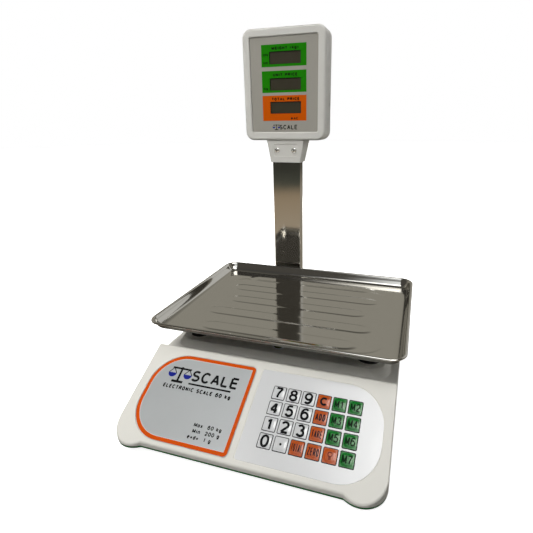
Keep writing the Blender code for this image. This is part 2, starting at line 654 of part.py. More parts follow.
def make_head_shell(paint, name, side, neck_depths):
    """Half of the display head. side is -1 for the operator's side and 1 for the customer's."""

    def at(depth):
        return HEAD_MID_Y + side * depth

    face = HEAD_HALF_DEPTH
    split = GAP / 2
    shell = skin(
        name,
        [
            head_ring(0, at(split)),
            head_ring(0, at(face - 0.0060)),
            head_ring(0.0018, at(face - 0.0016)),
            head_ring(0.0062, at(face)),
        ],
    )
    fuse(shell, neck_block(at(split), at(neck_depths[0]), at(neck_depths[1])))

    seat, wall_inside = face - DISPLAY_DEPTH - DISPLAY_THICKNESS - GAP, face - 0.0055
    inside = sorted((at(-0.001), at(wall_inside)))
    cavity = rounded(
        (POLE_X - HEAD_HALF_WIDTH, POLE_X + HEAD_HALF_WIDTH),
        (HEAD_BOTTOM, HEAD_TOP),
        HEAD_CORNER,
        steps=3,
        grow=-HEAD_WALL,
    )
    cut(shell, along_y("inside", cavity, *inside))
    half_x, far_y = POLE_WIDTH / 2 + GAP, POLE_Y + side * (POLE_DEPTH / 2 + GAP)
    socket_top = HEAD_BOTTOM + NECK_OVERLAP
    socket = ((POLE_X - half_x, at(-0.001), NECK_BOTTOM - 0.01), (POLE_X + half_x, far_y, socket_top))
    cut(shell, box("socket", *corners_in_order(*socket)))

    half, edge = DISPLAY_HALF_WIDTH + GAP, GAP
    recess = rounded(
        (POLE_X - half, POLE_X + half), (DISPLAY_BOTTOM - edge, DISPLAY_TOP + edge), 0.002, 1
    )
    cut(shell, along_y("recess", recess, *sorted((at(seat), at(face + 0.01)))))
    window_x = POLE_X - side * LCD_X
    window_half, window_margin = LCD_HALF_WIDTH + 0.0028, LCD_HALF_HEIGHT + 0.0033
    window = (
        (window_x - window_half, at(0), LCD_HEIGHTS[0] - window_margin),
        (window_x + window_half, at(face + 0.01), LCD_HEIGHTS[-1] + window_margin),
    )
    cut(shell, box("window", *corners_in_order(*window)))
    if side < 0:
        for screw_side in (-1, 1):
            centre = (POLE_X + screw_side * NECK_SCREW_X, at(neck_depths[0]), NECK_SCREW_Z)
            cut(shell, drill(NECK_SCREW_HOLE, centre, "Y", reach=0.006, steps=12))
    finish(shell, paint["white_abs"], (POLE_X, HEAD_MID_Y, HEAD_BOTTOM))


def corners_in_order(a, b):
    return tuple(map(min, a, b)), tuple(map(max, a, b))


def neck_block(near, far_bottom, far_top):
    """The tapering neck as a block from y = near out to y = far, wider at the top."""
    top = HEAD_BOTTOM + NECK_OVERLAP
    rings = []
    for half, far, z in (
        (NECK_HALF_BOTTOM, far_bottom, NECK_BOTTOM),
        (NECK_HALF_TOP, far_top, top),
    ):
        ys = sorted((near, far))
        outline = rounded((POLE_X - half, POLE_X + half), ys, 0.0, 1)[::2]
        rings.append([Vector((x, y, z)) for x, y in outline])
    return skin("neck", rings)


def make_display(paint, names, side):
    """A printed overlay with three windows, and the board behind it with its three glasses."""
    overlay_name, unit_name = names
    outer = HEAD_HALF_DEPTH - DISPLAY_DEPTH
    inner = outer - DISPLAY_THICKNESS

    def at(depth):
        return HEAD_MID_Y + side * depth

    half = DISPLAY_HALF_WIDTH
    outline = rounded((POLE_X - half, POLE_X + half), (DISPLAY_BOTTOM, DISPLAY_TOP), 0.002, 1)
    overlay = along_y(overlay_name, outline, *sorted((at(outer), at(inner))))
    board = (
        (POLE_X - 0.038, at(inner - 0.0058), LCD_HEIGHTS[0] - 0.022),
        (POLE_X + 0.038, at(inner - 0.0042), LCD_HEIGHTS[-1] + 0.022),
    )
    unit = box(unit_name, *corners_in_order(*board))
    x = POLE_X - side * LCD_X
    for z in LCD_HEIGHTS:

        def face_box(piece, grow, near, far):
            half_x, half_z = LCD_HALF_WIDTH + grow, LCD_HALF_HEIGHT + grow
            ends = ((x - half_x, at(near), z - half_z), (x + half_x, at(far), z + half_z))
            return box(piece, *corners_in_order(*ends))

        cut(overlay, face_box("window", 0.0, inner - 0.01, outer + 0.01))
        fuse(unit, face_box("glass", GLASS_MARGIN, inner - 0.0050, inner - 0.0007))
    finish(overlay, paint["grey_panel"], (POLE_X, at(outer), DISPLAY_BOTTOM))
    finish(unit, paint["lcd_glass"], (POLE_X, at(inner), LCD_HEIGHTS[0]))


def make_neck_screws(paint):
    face = HEAD_MID_Y - FRONT_NECK[0]
    profile = (
        (0.0030, -0.0018),
        (0.0040, -0.0009),
        (0.0040, -GAP),
        (0.0017, -GAP),
        (0.0017, 0.0085),
        (0.0008, 0.0095),
    )
    for name, side in (("neck_screw_left", -1), ("neck_screw_right", 1)):
        centre = (POLE_X + side * NECK_SCREW_X, face, NECK_SCREW_Z)
        finish(turned(name, profile, centre, "Y", steps=16), paint["steel"], centre)


# Electrical pieces


def make_boards(paint):
    board = box("main_board", BOARD_LOW, BOARD_HIGH)
    top = BOARD_HIGH[2] - 0.0004
    parts = (
        ((-0.020, -0.055, top), (0.010, -0.035, top + 0.004)),
        ((0.020, -0.070, top), (0.032, -0.040, top + 0.004)),
        ((-0.066, -0.045, top), (-0.056, -0.020, top + 0.009)),
        ((0.045, -0.060, top), (0.049, -0.035, top + 0.022)),
    )
    for low, high in parts:
        fuse(board, box("component", low, high))
    for x in (-0.043, -0.030):
        can = ((0.005, top), (0.005, top + 0.016))
        fuse(board, turned("capacitor", can, (x, -0.066, 0), steps=12))
    finish(board, paint["circuit_board"])


def make_transformer(paint):
    """An iron core with its winding through the middle."""
    x, y, low = TRANSFORMER_X, TRANSFORMER_Y, TRAY_TOP + GAP
    top = low + TRANSFORMER_HEIGHT
    core = box("transformer", (x - 0.027, y - 0.0125, low), (x + 0.027, y + 0.0125, top))
    fuse(core, box("winding", (x - 0.016, y - 0.022, low + 0.009), (x + 0.016, y + 0.022, top - 0.009)))
    finish(core, paint["steel"], (x, y, low))


def make_power_switch(paint):
    """A rocker switch in the rear wall. The rocker turns about X, and rests at off."""
    frame = rear_body("power_switch_frame", SWITCH_X, SWITCH_HALF_X, SWITCH_HALF_Z, SWITCH_DEPTH, 0.0018)
    half_x, half_z = ROCKER_HALF_X + 0.0004, ROCKER_HALF_Z + 0.001
    cut(frame, rear_pocket(SWITCH_X, half_x, half_z, 0.0065))
    finish(frame, paint["black_plastic"], (SWITCH_X, REAR_Y, SERVICE_Z))

    side = (
        (-0.002, ROCKER_HALF_Z),
        (0.0034, ROCKER_HALF_Z),
        (0.0022, 0.0),
        (0.0034, -ROCKER_HALF_Z),
        (-0.002, -ROCKER_HALF_Z),
        (-0.0045, 0.0),
    )
    rocker = across_x("power_switch_rocker", side, -ROCKER_HALF_X, ROCKER_HALF_X)
    rocker.data.transform(Matrix.Rotation(-SWITCH_TILT, 4, "X"))
    finish(rocker, paint["black_plastic"])
    rocker.location = (SWITCH_X, REAR_Y - ROCKER_PIVOT_INSET, SERVICE_Z)


def rear_body(name, x, half_x, half_z, depth, flange):
    """A block set through the rear wall, with a flange outside that stands out by flange."""
    low = (x - half_x, REAR_Y - depth, SERVICE_Z - half_z)
    body = box(name, low, (x + half_x, REAR_Y + 0.001, SERVICE_Z + half_z))
    rim_x, rim_z = half_x + REAR_FLANGE, half_z + REAR_FLANGE
    rim_low = (x - rim_x, REAR_Y + GAP, SERVICE_Z - rim_z)
    return fuse(body, box("flange", rim_low, (x + rim_x, REAR_Y + flange, SERVICE_Z + rim_z)))


def rear_pocket(x, half_x, half_z, depth):
    """A cutter for a pocket that opens to the rear."""
    low = (x - half_x, REAR_Y - depth, SERVICE_Z - half_z)
    return box("pocket", low, (x + half_x, REAR_Y + 0.01, SERVICE_Z + half_z))


def make_mains_inlet(paint):
    """A three-pin appliance inlet in the rear wall."""
    inlet = rear_body("mains_inlet", INLET_X, INLET_HALF_X, INLET_HALF_Z, INLET_DEPTH, 0.0022)
    cut(inlet, rear_pocket(INLET_X, SOCKET_HALF_X, SOCKET_HALF_Z, SOCKET_DEPTH))
    for x, z in INLET_PINS:
        low = (INLET_X + x - 0.001, REAR_Y - SOCKET_DEPTH - 0.0005, SERVICE_Z + z - 0.002)
        fuse(inlet, box("pin", low, (INLET_X + x + 0.001, REAR_Y - 0.0035, SERVICE_Z + z + 0.002)))
    finish(inlet, paint["black_plastic"], (INLET_X, REAR_Y, SERVICE_Z))


def make_bubble_level(paint):
    profile = (
        (LEVEL_HOLE - 0.0008, -0.008),
        (LEVEL_HOLE - GAP, -0.007),
        (LEVEL_HOLE - GAP, GAP),
        (LEVEL_RADIUS, GAP),
        (LEVEL_RADIUS, 0.0010),
        (LEVEL_RADIUS - 0.0008, 0.0016),
    )
    centre = (0, LEVEL_Y, DECK_Z)
    finish(turned("bubble_level", profile, centre), paint["level_glass"], centre)


def smooth_route(points, steps):
    """Points on one smooth curve through the route's own points."""
    ends = [2 * Vector(points[0]) - Vector(points[1]), 2 * Vector(points[-1]) - Vector(points[-2])]
    route = [ends[0], *map(Vector, points), ends[1]]
    made = []
    for a, b, c, d in zip(route, route[1:], route[2:], route[3:]):
        for i in range(steps):
            t = i / steps
            leave = b + (c - a) * t / 2 + (2 * a - 5 * b + 4 * c - d) * t**2 / 2
            made.append(leave + (3 * b - a - 3 * c + d) * t**3 / 2)
    return [*made, route[-2]]


def make_display_cable(paint):
    """The lead from the main board, under the pole and up inside it, to the head."""
    line = bpy.data.curves.new("display_cable", "CURVE")
    line.dimensions = "3D"
    line.bevel_depth = CABLE_RADIUS
    line.bevel_resolution = 2
    line.use_fill_caps = True
    climb = CABLE_ROUTE.index(max(CABLE_ROUTE, key=lambda p: p[2] < 0.1 and p[2]))
    points = smooth_route(CABLE_ROUTE[: climb + 1], 4) + smooth_route(CABLE_ROUTE[climb + 1 :], 4)
    spline = line.splines.new("POLY")
    spline.points.add(len(points) - 1)
    for place, point in zip(spline.points, points):
        place.co = (*point, 1)
    cable = bpy.data.objects.new("display_cable", line)
    bpy.context.scene.collection.objects.link(cable)
    line.materials.append(paint["black_plastic"])


def main():
    clear_scene()
    paint = make_materials()
    make_upper_housing(paint)
    make_lower_base(paint)
    make_battery(paint)
    make_feet(paint)
    panel = make_panel_sheets(paint)
    make_keys(paint, panel)
    make_pan(paint)
    make_cushions(paint)
    make_pan_support(paint)
    make_load_cell(paint)
    make_pole(paint)
    make_pole_bracket(paint)
    make_head_shell(paint, "display_front_shell", -1, FRONT_NECK)
    make_head_shell(paint, "display_rear_shell", 1, REAR_NECK)
    make_display(paint, ("front_display_overlay", "front_lcd_unit"), -1)
    make_display(paint, ("rear_display_overlay", "rear_lcd_unit"), 1)
    make_neck_screws(paint)
    make_boards(paint)
    make_transformer(paint)
    make_power_switch(paint)
    make_mains_inlet(paint)
    make_bubble_level(paint)
    make_display_cable(paint)


main()
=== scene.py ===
"""Looks for the price-computing shop scale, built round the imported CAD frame. Metres, +Z up."""

import math

import bmesh
import bpy
from mathutils import Matrix, Vector


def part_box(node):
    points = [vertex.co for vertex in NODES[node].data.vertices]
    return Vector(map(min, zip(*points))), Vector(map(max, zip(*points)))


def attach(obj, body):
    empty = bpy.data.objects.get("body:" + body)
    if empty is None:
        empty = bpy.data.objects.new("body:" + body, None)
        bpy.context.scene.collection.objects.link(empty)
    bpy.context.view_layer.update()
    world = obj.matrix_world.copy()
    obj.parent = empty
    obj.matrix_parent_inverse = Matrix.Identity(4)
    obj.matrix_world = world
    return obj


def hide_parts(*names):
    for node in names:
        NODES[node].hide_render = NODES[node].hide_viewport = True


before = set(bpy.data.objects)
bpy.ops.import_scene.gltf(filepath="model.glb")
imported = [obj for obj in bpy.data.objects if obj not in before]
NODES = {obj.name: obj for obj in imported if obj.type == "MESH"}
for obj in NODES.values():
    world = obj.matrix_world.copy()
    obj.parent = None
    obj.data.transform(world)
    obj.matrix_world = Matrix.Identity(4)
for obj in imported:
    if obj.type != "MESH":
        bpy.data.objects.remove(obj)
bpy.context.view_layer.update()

COLLECTION = bpy.context.scene.collection
KEY_NAMES = [name for name in NODES if name.startswith("key_")]
CUSHIONS = ("cushion_front_left", "cushion_front_right", "cushion_rear_left", "cushion_rear_right")
FEET = ("foot_front_left", "foot_front_right", "foot_rear_left", "foot_rear_right")

shift = Matrix.Translation

# The sloping panel's own frame: x across, y up the slope from the ridge, z off the surface
RIDGE_Y, RIDGE_Z, PANEL_TILT = -0.088, 0.079, math.radians(28.4)
PANEL = shift((0, RIDGE_Y, RIDGE_Z)) @ Matrix.Rotation(PANEL_TILT, 4, "X")

# Takes (x, z, y) to (x, y, z), for outlines that stand upright
STANDING = Matrix(((1, 0, 0, 0), (0, 0, 1, 0), (0, 1, 0, 0), (0, 0, 0, 1)))

# Base
FRONT_EDGE_Y = -0.1975
LOBE_X, LOBE_Y, LOBE_RADIUS, NOTCH_RADIUS = 0.136, -0.1755, 0.02696, 0.006
REAR_HALF_WIDTH, REAR_Y, REAR_CORNER = 0.160, 0.196, 0.024
WALL = 0.0025
SEAM_Z, LEDGE_Z, LEDGE_Y, RIDGE_WIDTH = 0.0137, 0.069, -0.083, 0.003
DECK_Z, DECK_FRONT_Y, DECK_REAR_Y = 0.079, -0.063, 0.152
DECK_HALF_WIDTH, DECK_CORNER, DECK_FLARE = 0.145, 0.020, 0.006
DECK_REACH = 1.4  # the deck's flare and height go on below the ledge, to this share of what shows
TRAY_BOTTOM, TRAY_TOP, TRAY_LIP = 0.0103, 0.0134, 0.0150
GAP = 0.0003  # clearance between pieces that would otherwise touch
FAR = 0.01  # how far a cutting tool reaches past the surface it cuts

# Panel sheets, as (across, up, (right corners, left corners))
LABEL = ((-0.1485, -0.0115), (-0.119, -0.009), (0.005, 0.045))
OVERLAY = ((-0.0025, 0.152), (-0.118, -0.009), (0.045, 0.003))
SHEET_BOTTOM, SHEET_TOP, SHEET_STEPS = -0.0006, 0.0001, 16

# Keys
KEY_HALF_X, KEY_HALF_Y, KEY_CORNER = 0.0081, 0.0082, 0.0015
CAP_HALF_X, CAP_HALF_Y, CAP_CORNER, CAP_STEPS = KEY_HALF_X - 0.00072, KEY_HALF_Y - 0.00072, 0.0007, 30
CAP_RIM, CAP_CROWN, CAP_SWELL, CAP_POWER = 0.00034, 0.00098, 0.00018, 3.6

# Pan
PAN_LOW, PAN_HIGH = (Vector(v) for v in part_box("weighing_pan"))
PAN_FLOOR, PAN_SHEET, PAN_MARGIN, PAN_CORNER, PAN_FLOOR_CORNER = 0.1065, 0.001, 0.0215, 0.020, 0.0075
RIB_PITCH, RIB_HALF, RIB_SLOPE, RIB_HEIGHT = 0.0452, 0.0086, 0.0042, 0.00066
FIELD_HALF_X, FIELD_LOW_Y, FIELD_HIGH_Y, FIELD_CORNER = 0.1435, -0.078, 0.1125, 0.036
FIELD_SLOPE, FIELD_HEIGHT = 0.0028, 0.00022

# Pole and head
POLE_LOW, POLE_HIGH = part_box("pole")
POLE_X = (POLE_LOW[0] + POLE_HIGH[0]) / 2
HEAD_MID_Y, HEAD_HALF_DEPTH, HEAD_HALF_WIDTH = 0.182, 0.0205, 0.0697
HEAD_BOTTOM, HEAD_TOP, HEAD_CORNER, HEAD_ROUND = 0.3435, 0.5125, 0.014, 0.0042
NECK_BOTTOM, NECK_TOP, NECK_HALF_TOP, NECK_HALF_BOTTOM = 0.307, 0.3495, 0.0347, 0.0268
FRONT_NECK, REAR_NECK_BOTTOM, REAR_NECK_TOP = 0.0165, 0.0135, 0.0195
PRINT_RECESS, PRINT_SHEET = 0.0020, 0.0008
LCD_X, LCD_HALF_WIDTH, LCD_HALF_HEIGHT = 0.0023, 0.02635, 0.0092
LCD_HEIGHTS = (0.3950, 0.4304, 0.4692)
SCREW_X, SCREW_Z = 0.015, 0.327


# ---- materials

PAINT = {}


def fill(tree, made, inputs):
    """Sets a node's inputs, each linked to another node's output or given a value."""
    for name, value in inputs.items():
        if isinstance(value, bpy.types.NodeSocket):
            tree.links.new(value, made.inputs[name])
        else:
            made.inputs[name].default_value = value


def node(tree, kind, inputs, **settings):
    made = tree.nodes.new(kind)
    for name, value in settings.items():
        setattr(made, name, value)
    fill(tree, made, inputs)
    return made


def material(
    name, colour, rough, metal=0.0, vary=0.04, vary_scale=40.0, rough_vary=0.05, grain=900.0,
    grain_depth=0.00002, grain_stretch=(1, 1, 1), wave=0.0, wave_scale=18.0, coat=0.0,
    coat_rough=0.08, specular=0.5,
):
    """A surface with colour and roughness that drift a little, a fine grain and, if asked, a slow wave."""
    made = bpy.data.materials.new(name)
    made.use_nodes = True
    tree = made.node_tree
    place = node(tree, "ShaderNodeTexCoord", {}).outputs["Object"]

    def noise(source, scale, detail, roughness=0.5):
        inputs = {"Vector": source, "Scale": scale, "Detail": detail, "Roughness": roughness}
        return node(tree, "ShaderNodeTexNoise", inputs).outputs["Fac"]

    def bump(**inputs):
        return node(tree, "ShaderNodeBump", {"Strength": 1.0, **inputs}).outputs["Normal"]

    drift = noise(place, vary_scale, 5.0, 0.6)
    pale, deep = ((*[min(1.0, c * (1 + change)) for c in colour], 1) for change in (vary, -vary))
    tint = node(tree, "ShaderNodeMixRGB", {"Fac": drift, "Color1": deep, "Color2": pale})
    ends = {"To Min": max(0.02, rough - rough_vary), "To Max": rough + rough_vary}
    polish = node(tree, "ShaderNodeMapRange", {"Value": drift, **ends})
    stretched = node(tree, "ShaderNodeMapping", {"Vector": place, "Scale": grain_stretch})
    normal = bump(Height=noise(stretched.outputs["Vector"], grain, 3.0), Distance=grain_depth)
    if wave:
        normal = bump(Height=noise(place, wave_scale, 1.0), Distance=wave, Normal=normal)
    surface = {
        "Base Color": tint.outputs["Color"], "Roughness": polish.outputs["Result"], "Normal": normal,
        "Metallic": metal, "Coat Weight": coat, "Coat Roughness": coat_rough, "Specular IOR Level": specular,
    }
    fill(tree, tree.nodes["Principled BSDF"], surface)
    PAINT[name] = made
    return made


def ink(name, colour, rough=0.50, vary=0.1, grain=700, specular=0.08):
    material(name, colour, rough, vary=vary, grain=grain, specular=specular)


def make_plastics():
    shell = dict(vary=0.015, grain=1400, grain_depth=0.000012)
    cap = dict(vary=0.06, grain=500, coat=0.25, wave=0.0003, wave_scale=160)
    material("housing_plastic", (0.80, 0.785, 0.735), 0.42, **shell)
    # The head's plastic: the housing's white painted darker, as painted shade for the dimmer light on the
    # head.
    material("head_plastic_painted_shade", (0.64, 0.63, 0.60), 0.40, **shell)
    material("tray_plastic", (0.008, 0.16, 0.035), 0.42, vary=0.12, grain=1200)
    material("black_plastic", (0.016, 0.016, 0.017), 0.36, vary=0.15, grain=1300)
    material("cushion_rubber", (0.011, 0.011, 0.0115), 0.55, vary=0.2, grain_depth=0.00004)
    material("cable_jacket", (0.014, 0.014, 0.015), 0.42, vary=0.15, grain=700)
    material("battery_case", (0.035, 0.036, 0.042), 0.45, vary=0.15)
    material("circuit_board", (0.012, 0.12, 0.045), 0.40, vary=0.35, vary_scale=160)
    material("keypad_film", (0.735, 0.74, 0.755), 0.24, vary=0.02, grain=500, wave=0.0006,
             wave_scale=30, coat=1.0, coat_rough=0.10, specular=0.9)
    material("key_white_film", (0.66, 0.665, 0.68), 0.16, vary=0.03, grain=500, coat=0.7,
             wave=0.0003, wave_scale=160)
    material("key_orange_film", (0.49, 0.078, 0.006), 0.27, **cap)
    material("key_green_film", (0.001, 0.165, 0.015), 0.27, **cap)
    material("display_panel", (0.34, 0.325, 0.29), 0.40, vary=0.02, grain=800, specular=0.3)
    material("lcd_glass", (0.044, 0.039, 0.026), 0.12, vary=0.08, vary_scale=60, grain=400,
             grain_depth=0.000002, coat=0.3, specular=0.35)
    material("level_liquid", (0.16, 0.19, 0.07), 0.06, vary=0.05, coat=1.0, coat_rough=0.03,
             grain=200, grain_depth=0.000001)


def make_inks():
    ink("orange_ink", (0.66, 0.080, 0.001), 0.46, 0.04)
    ink("white_ink", (0.84, 0.85, 0.86), 0.36, 0.02, specular=0.5)
    ink("black_ink", (0.008, 0.008, 0.009))
    ink("brown_ink", (0.10, 0.012, 0.004))
    ink("blue_ink", (0.012, 0.02, 0.26))
    ink("key_green_ink", (0.001, 0.012, 0.003))
    ink("dark_ink", (0.002, 0.006, 0.002), grain=800)
    ink("green_ink", (0.011, 0.205, 0.0005), 0.42, 0.03, 800, 0.05)
    ink("amber_ink", (0.56, 0.088, 0.0005), 0.42, 0.03, 800, 0.05)


def make_metals():
    polished = dict(metal=1.0, vary=0.03, vary_scale=60, rough_vary=0.03)
    material("label_foil", (0.63, 0.652, 0.665), 0.34, metal=0.45, vary=0.08, vary_scale=9, grain=500,
             grain_stretch=(1, 0.15, 1), grain_depth=0.00001, wave=0.0006, wave_scale=22)
    material("pan_steel", (0.60, 0.585, 0.55), 0.085, grain=260, grain_stretch=(0.05, 4, 1),
             grain_depth=0.000004, wave=0.00012, wave_scale=9, **polished)
    # The pan's outer wall and underside: the same steel as the inside, painted dark and rough as painted
    # shade under the lip.
    material("pan_steel_painted_shade", (0.17, 0.165, 0.15), 0.46, metal=1.0, vary=0.06, grain=260,
             grain_stretch=(0.05, 4, 1), grain_depth=0.00001)
    material("pole_steel", (0.60, 0.58, 0.54), 0.075, grain=300, grain_stretch=(4, 4, 0.06),
             grain_depth=0.000003, wave=0.00006, wave_scale=11, **polished)
    material("cast_aluminium", (0.55, 0.56, 0.57), 0.42, metal=1.0, vary=0.08, grain=700,
             grain_depth=0.00006, rough_vary=0.1)
    material("machined_aluminium", (0.66, 0.67, 0.68), 0.28, metal=1.0, grain=400,
             grain_stretch=(0.1, 3, 3), grain_depth=0.00001)
    material("plated_steel", (0.52, 0.51, 0.47), 0.30, metal=1.0, vary=0.08, grain=500)
    material("screw_steel", (0.86, 0.85, 0.82), 0.25, metal=0.8, vary=0.05, grain=600)
    material("iron_core", (0.20, 0.19, 0.18), 0.42, metal=0.8, vary=0.2, vary_scale=12,
             grain_stretch=(1, 12, 1), grain_depth=0.00008)
    material("pin_brass", (0.70, 0.62, 0.42), 0.22, metal=1.0, vary=0.05, grain=500)


make_plastics()
make_inks()
make_metals()


# ---- outlines


def bow(x, y, across, up, start, end, steps=24):
    """Points along an ellipse, from one angle to another."""
    angles = [math.radians(start + (end - start) * i / steps) for i in range(steps + 1)]
    return [(x + across * math.cos(a), y + up * math.sin(a)) for a in angles]


def arc(centre, radius, start, end, steps):
    return bow(*centre, radius, radius, start, end, steps)


def circle(radius, steps, centre=(0, 0)):
    return arc(centre, radius, 0, 360 - 360 / steps, steps - 1)


def rounded(across, up, radii, steps=8, grow=0.0):
    """A rectangle with round corners: radii is one radius, or (right corners, left corners)."""
    right, left = radii if isinstance(radii, tuple) else (radii, radii)
    corners = (
        (across[1] - right, up[1] - right, right, 0),
        (across[0] + left, up[1] - left, left, 90),
        (across[0] + left, up[0] + left, left, 180),
        (across[1] - right, up[0] + right, right, 270),
    )
    points = []
    for x, y, radius, start in corners:
        points += arc((x, y), max(0.0001, radius + grow), start, start + 90, steps)
    return points


def rounded_about(x, y, half_x, half_y, radius, steps=8, grow=0.0):
    return rounded((x - half_x, x + half_x), (y - half_y, y + half_y), radius, steps, grow)


def rectangle(low_x, low_y, high_x, high_y):
    return ((low_x, low_y), (high_x, low_y), (high_x, high_y), (low_x, high_y))


def base_outline(inset=0.0):
    """Plan of the base: a straight front between two round lobes, and a round-cornered rear."""
    reach = LOBE_RADIUS + NOTCH_RADIUS
    notch_y = FRONT_EDGE_Y - NOTCH_RADIUS
    rise = LOBE_Y - notch_y
    notch_x = LOBE_X - math.sqrt(reach**2 - rise**2)
    meet = math.degrees(math.atan2(rise, LOBE_X - notch_x))
    rear = (REAR_HALF_WIDTH - REAR_CORNER, REAR_Y - REAR_CORNER)
    right = arc((notch_x, notch_y), NOTCH_RADIUS + inset, 90, meet, 5)
    right += arc((LOBE_X, LOBE_Y), LOBE_RADIUS - inset, meet - 180, 0, 24)[1:]
    right += arc(rear, REAR_CORNER - inset, 0, 90, 12)
    return right + [(-x, y) for x, y in reversed(right)]


def ease(t):
    """Goes smoothly from 0 to 1 as t does, and stays there."""
    t = min(1.0, max(0.0, t))
    return t * t * (3 - 2 * t)


# ---- meshes


def as_object(name, mesh, paints=(), smooth=30):
    """An object from a bmesh, faces turned outwards, edges past the smooth angle kept sharp."""
    bmesh.ops.recalc_face_normals(mesh, faces=mesh.faces)
    obj = linked(name, mesh, [PAINT[paint] for paint in paints])
    soften(obj, smooth)
    return obj


def linked(name, mesh, materials):
    data = bpy.data.meshes.new(name)
    mesh.to_mesh(data)
    mesh.free()
    obj = bpy.data.objects.new(name, data)
    COLLECTION.objects.link(obj)
    for paint in materials:
        data.materials.append(paint)
    return obj


def soften(obj, angle):
    obj.data.shade_smooth()
    obj.data.set_sharp_from_angle(angle=math.radians(angle))


def paint_over(obj, paint, angle=None):
    """One material for the whole piece, and smooth shading up to an angle."""
    obj.data.materials.clear()
    obj.data.materials.append(PAINT[paint])
    if angle:
        soften(obj, angle)


def skin(name, rings, paints=(), smooth=30, closed=False):
    """A solid over rings of points of the same count: capped, or closed from the last ring to the first."""
    mesh = bmesh.new()
    loops = [[mesh.verts.new(point) for point in ring] for ring in rings]
    for low, high in zip(loops, loops[1:] + loops[:1] if closed else loops[1:]):
        for i, corner in enumerate(low):
            j = (i + 1) % len(low)
            mesh.faces.new((corner, low[j], high[j], high[i]))
    if not closed:
        mesh.faces.new(reversed(loops[0]))
        mesh.faces.new(loops[-1])
    return as_object(name, mesh, paints, smooth)


def stack(name, levels, matrix=Matrix(), paints=(), smooth=30, closed=False):
    """A solid over flat outlines; levels are (outline, height)."""
    rings = [[matrix @ Vector((x, y, z)) for x, y in outline] for outline, z in levels]
    return skin(name, rings, paints, smooth, closed)


def prism(name, outline, low, high, matrix=Matrix(), paints=()):
    return stack(name, ((outline, low), (outline, high)), matrix, paints)


def block(name, low, high):
    return prism(name, rectangle(*low[:2], *high[:2]), low[2], high[2])


def turned(name, profile, matrix, steps=48, paints=(), smooth=30):
    """A turned solid from (radius, height) points about a matrix's Z axis."""
    levels = [(circle(radius, steps), height) for radius, height in profile]
    return stack(name, levels, matrix, paints, smooth)


def band(name, outer, inner, low, high, matrix, paint):
    """A flat ring between two outlines of the same count, as a thin solid."""
    levels = ((outer, low), (outer, high), (inner, high), (inner, low))
    return stack(name, levels, matrix, (paint,), closed=True)


def drill(radius, matrix, reach=FAR, steps=48):
    return turned("hole", ((radius, -reach), (radius, reach)), matrix, steps)


def facing(x, y, z, side):
    """Takes (across, up, off) to a face at a point, which looks along -Y for side -1 and +Y for side 1."""
    turn = Matrix(((-side, 0, 0, 0), (0, 0, side, 0), (0, 1, 0, 0), (0, 0, 0, 1)))
    return shift((x, y, z)) @ turn


def combine(target, tool, operation):
    """Applies a boolean with a tool, which is used up."""
    step = target.modifiers.new(operation, "BOOLEAN")
    step.operation = operation
    step.object = tool
    bake(target)
    bpy.data.objects.remove(tool, do_unlink=True)
    return target


def bake(obj):
    """Applies the modifiers to the mesh."""
    graph = bpy.context.evaluated_depsgraph_get()
    data = bpy.data.meshes.new_from_object(obj.evaluated_get(graph))
    obj.modifiers.clear()
    obj.data = data


def cut(target, tool):
    return combine(target, tool, "DIFFERENCE")


def fuse(target, tool):
    return combine(target, tool, "UNION")


def add_flat_normals(obj):
    """Keeps large faces flat to the eye, beside their rounded edges."""
    step = obj.modifiers.new("flats", "WEIGHTED_NORMAL")
    step.keep_sharp = True
    step.weight = 90


def add_bevel(obj, width, segments, limit):
    step = obj.modifiers.new("round", "BEVEL")
    step.width = width
    step.segments = segments
    step.limit_method = limit
    return step


def weighted_bevel(obj, width, weight_of, segments):
    """Rounds edges by a weight that weight_of(middle, turn) gives each one, and applies it."""
    mesh = bmesh.new()
    mesh.from_mesh(obj.data)
    layer = mesh.edges.layers.float.new("bevel_weight_edge")
    for edge in mesh.edges:
        if len(edge.link_faces) == 2:
            turn = math.degrees(edge.calc_face_angle(0.0))
            middle = (edge.verts[0].co + edge.verts[1].co) / 2
            edge[layer] = weight_of(middle, turn)
    mesh.to_mesh(obj.data)
    mesh.free()
    add_bevel(obj, width, segments, "WEIGHT")
    bake(obj)


def dissolve_flats(obj):
    """Takes out the edges that booleans leave in flat faces."""
    mesh = bmesh.new()
    mesh.from_mesh(obj.data)
    bmesh.ops.dissolve_limit(mesh, angle_limit=math.radians(0.3), verts=mesh.verts, edges=mesh.edges)
    mesh.to_mesh(obj.data)
    mesh.free()
    return obj


def join(name, objects):
    """One object from several, keeping each one's materials."""
    mesh = bmesh.new()
    paints = []
    for obj in objects:
        start = len(mesh.faces)
        own = list(obj.data.materials)
        mesh.from_mesh(obj.data)
        mesh.faces.ensure_lookup_table()
        for face in mesh.faces[start:]:
            paint = own[min(face.material_index, len(own) - 1)]
            if paint not in paints:
                paints.append(paint)
            face.material_index = paints.index(paint)
        bpy.data.objects.remove(obj, do_unlink=True)
    return linked(name, mesh, paints)


def face_grid(mesh, rows):
    """Faces between rows of points; gives the rows of new vertices."""
    grid = [[mesh.verts.new(point) for point in row] for row in rows]
    for low, high in zip(grid, grid[1:]):
        for i in range(len(low) - 1):
            mesh.faces.new((low[i], low[i + 1], high[i + 1], high[i]))
    return grid


# ---- lettering


LOOP_STEPS = 35


def loop(x, y, across, up):
    """A whole ellipse, which starts at its right."""
    return bow(x, y, across, up, 0, 350, LOOP_STEPS)


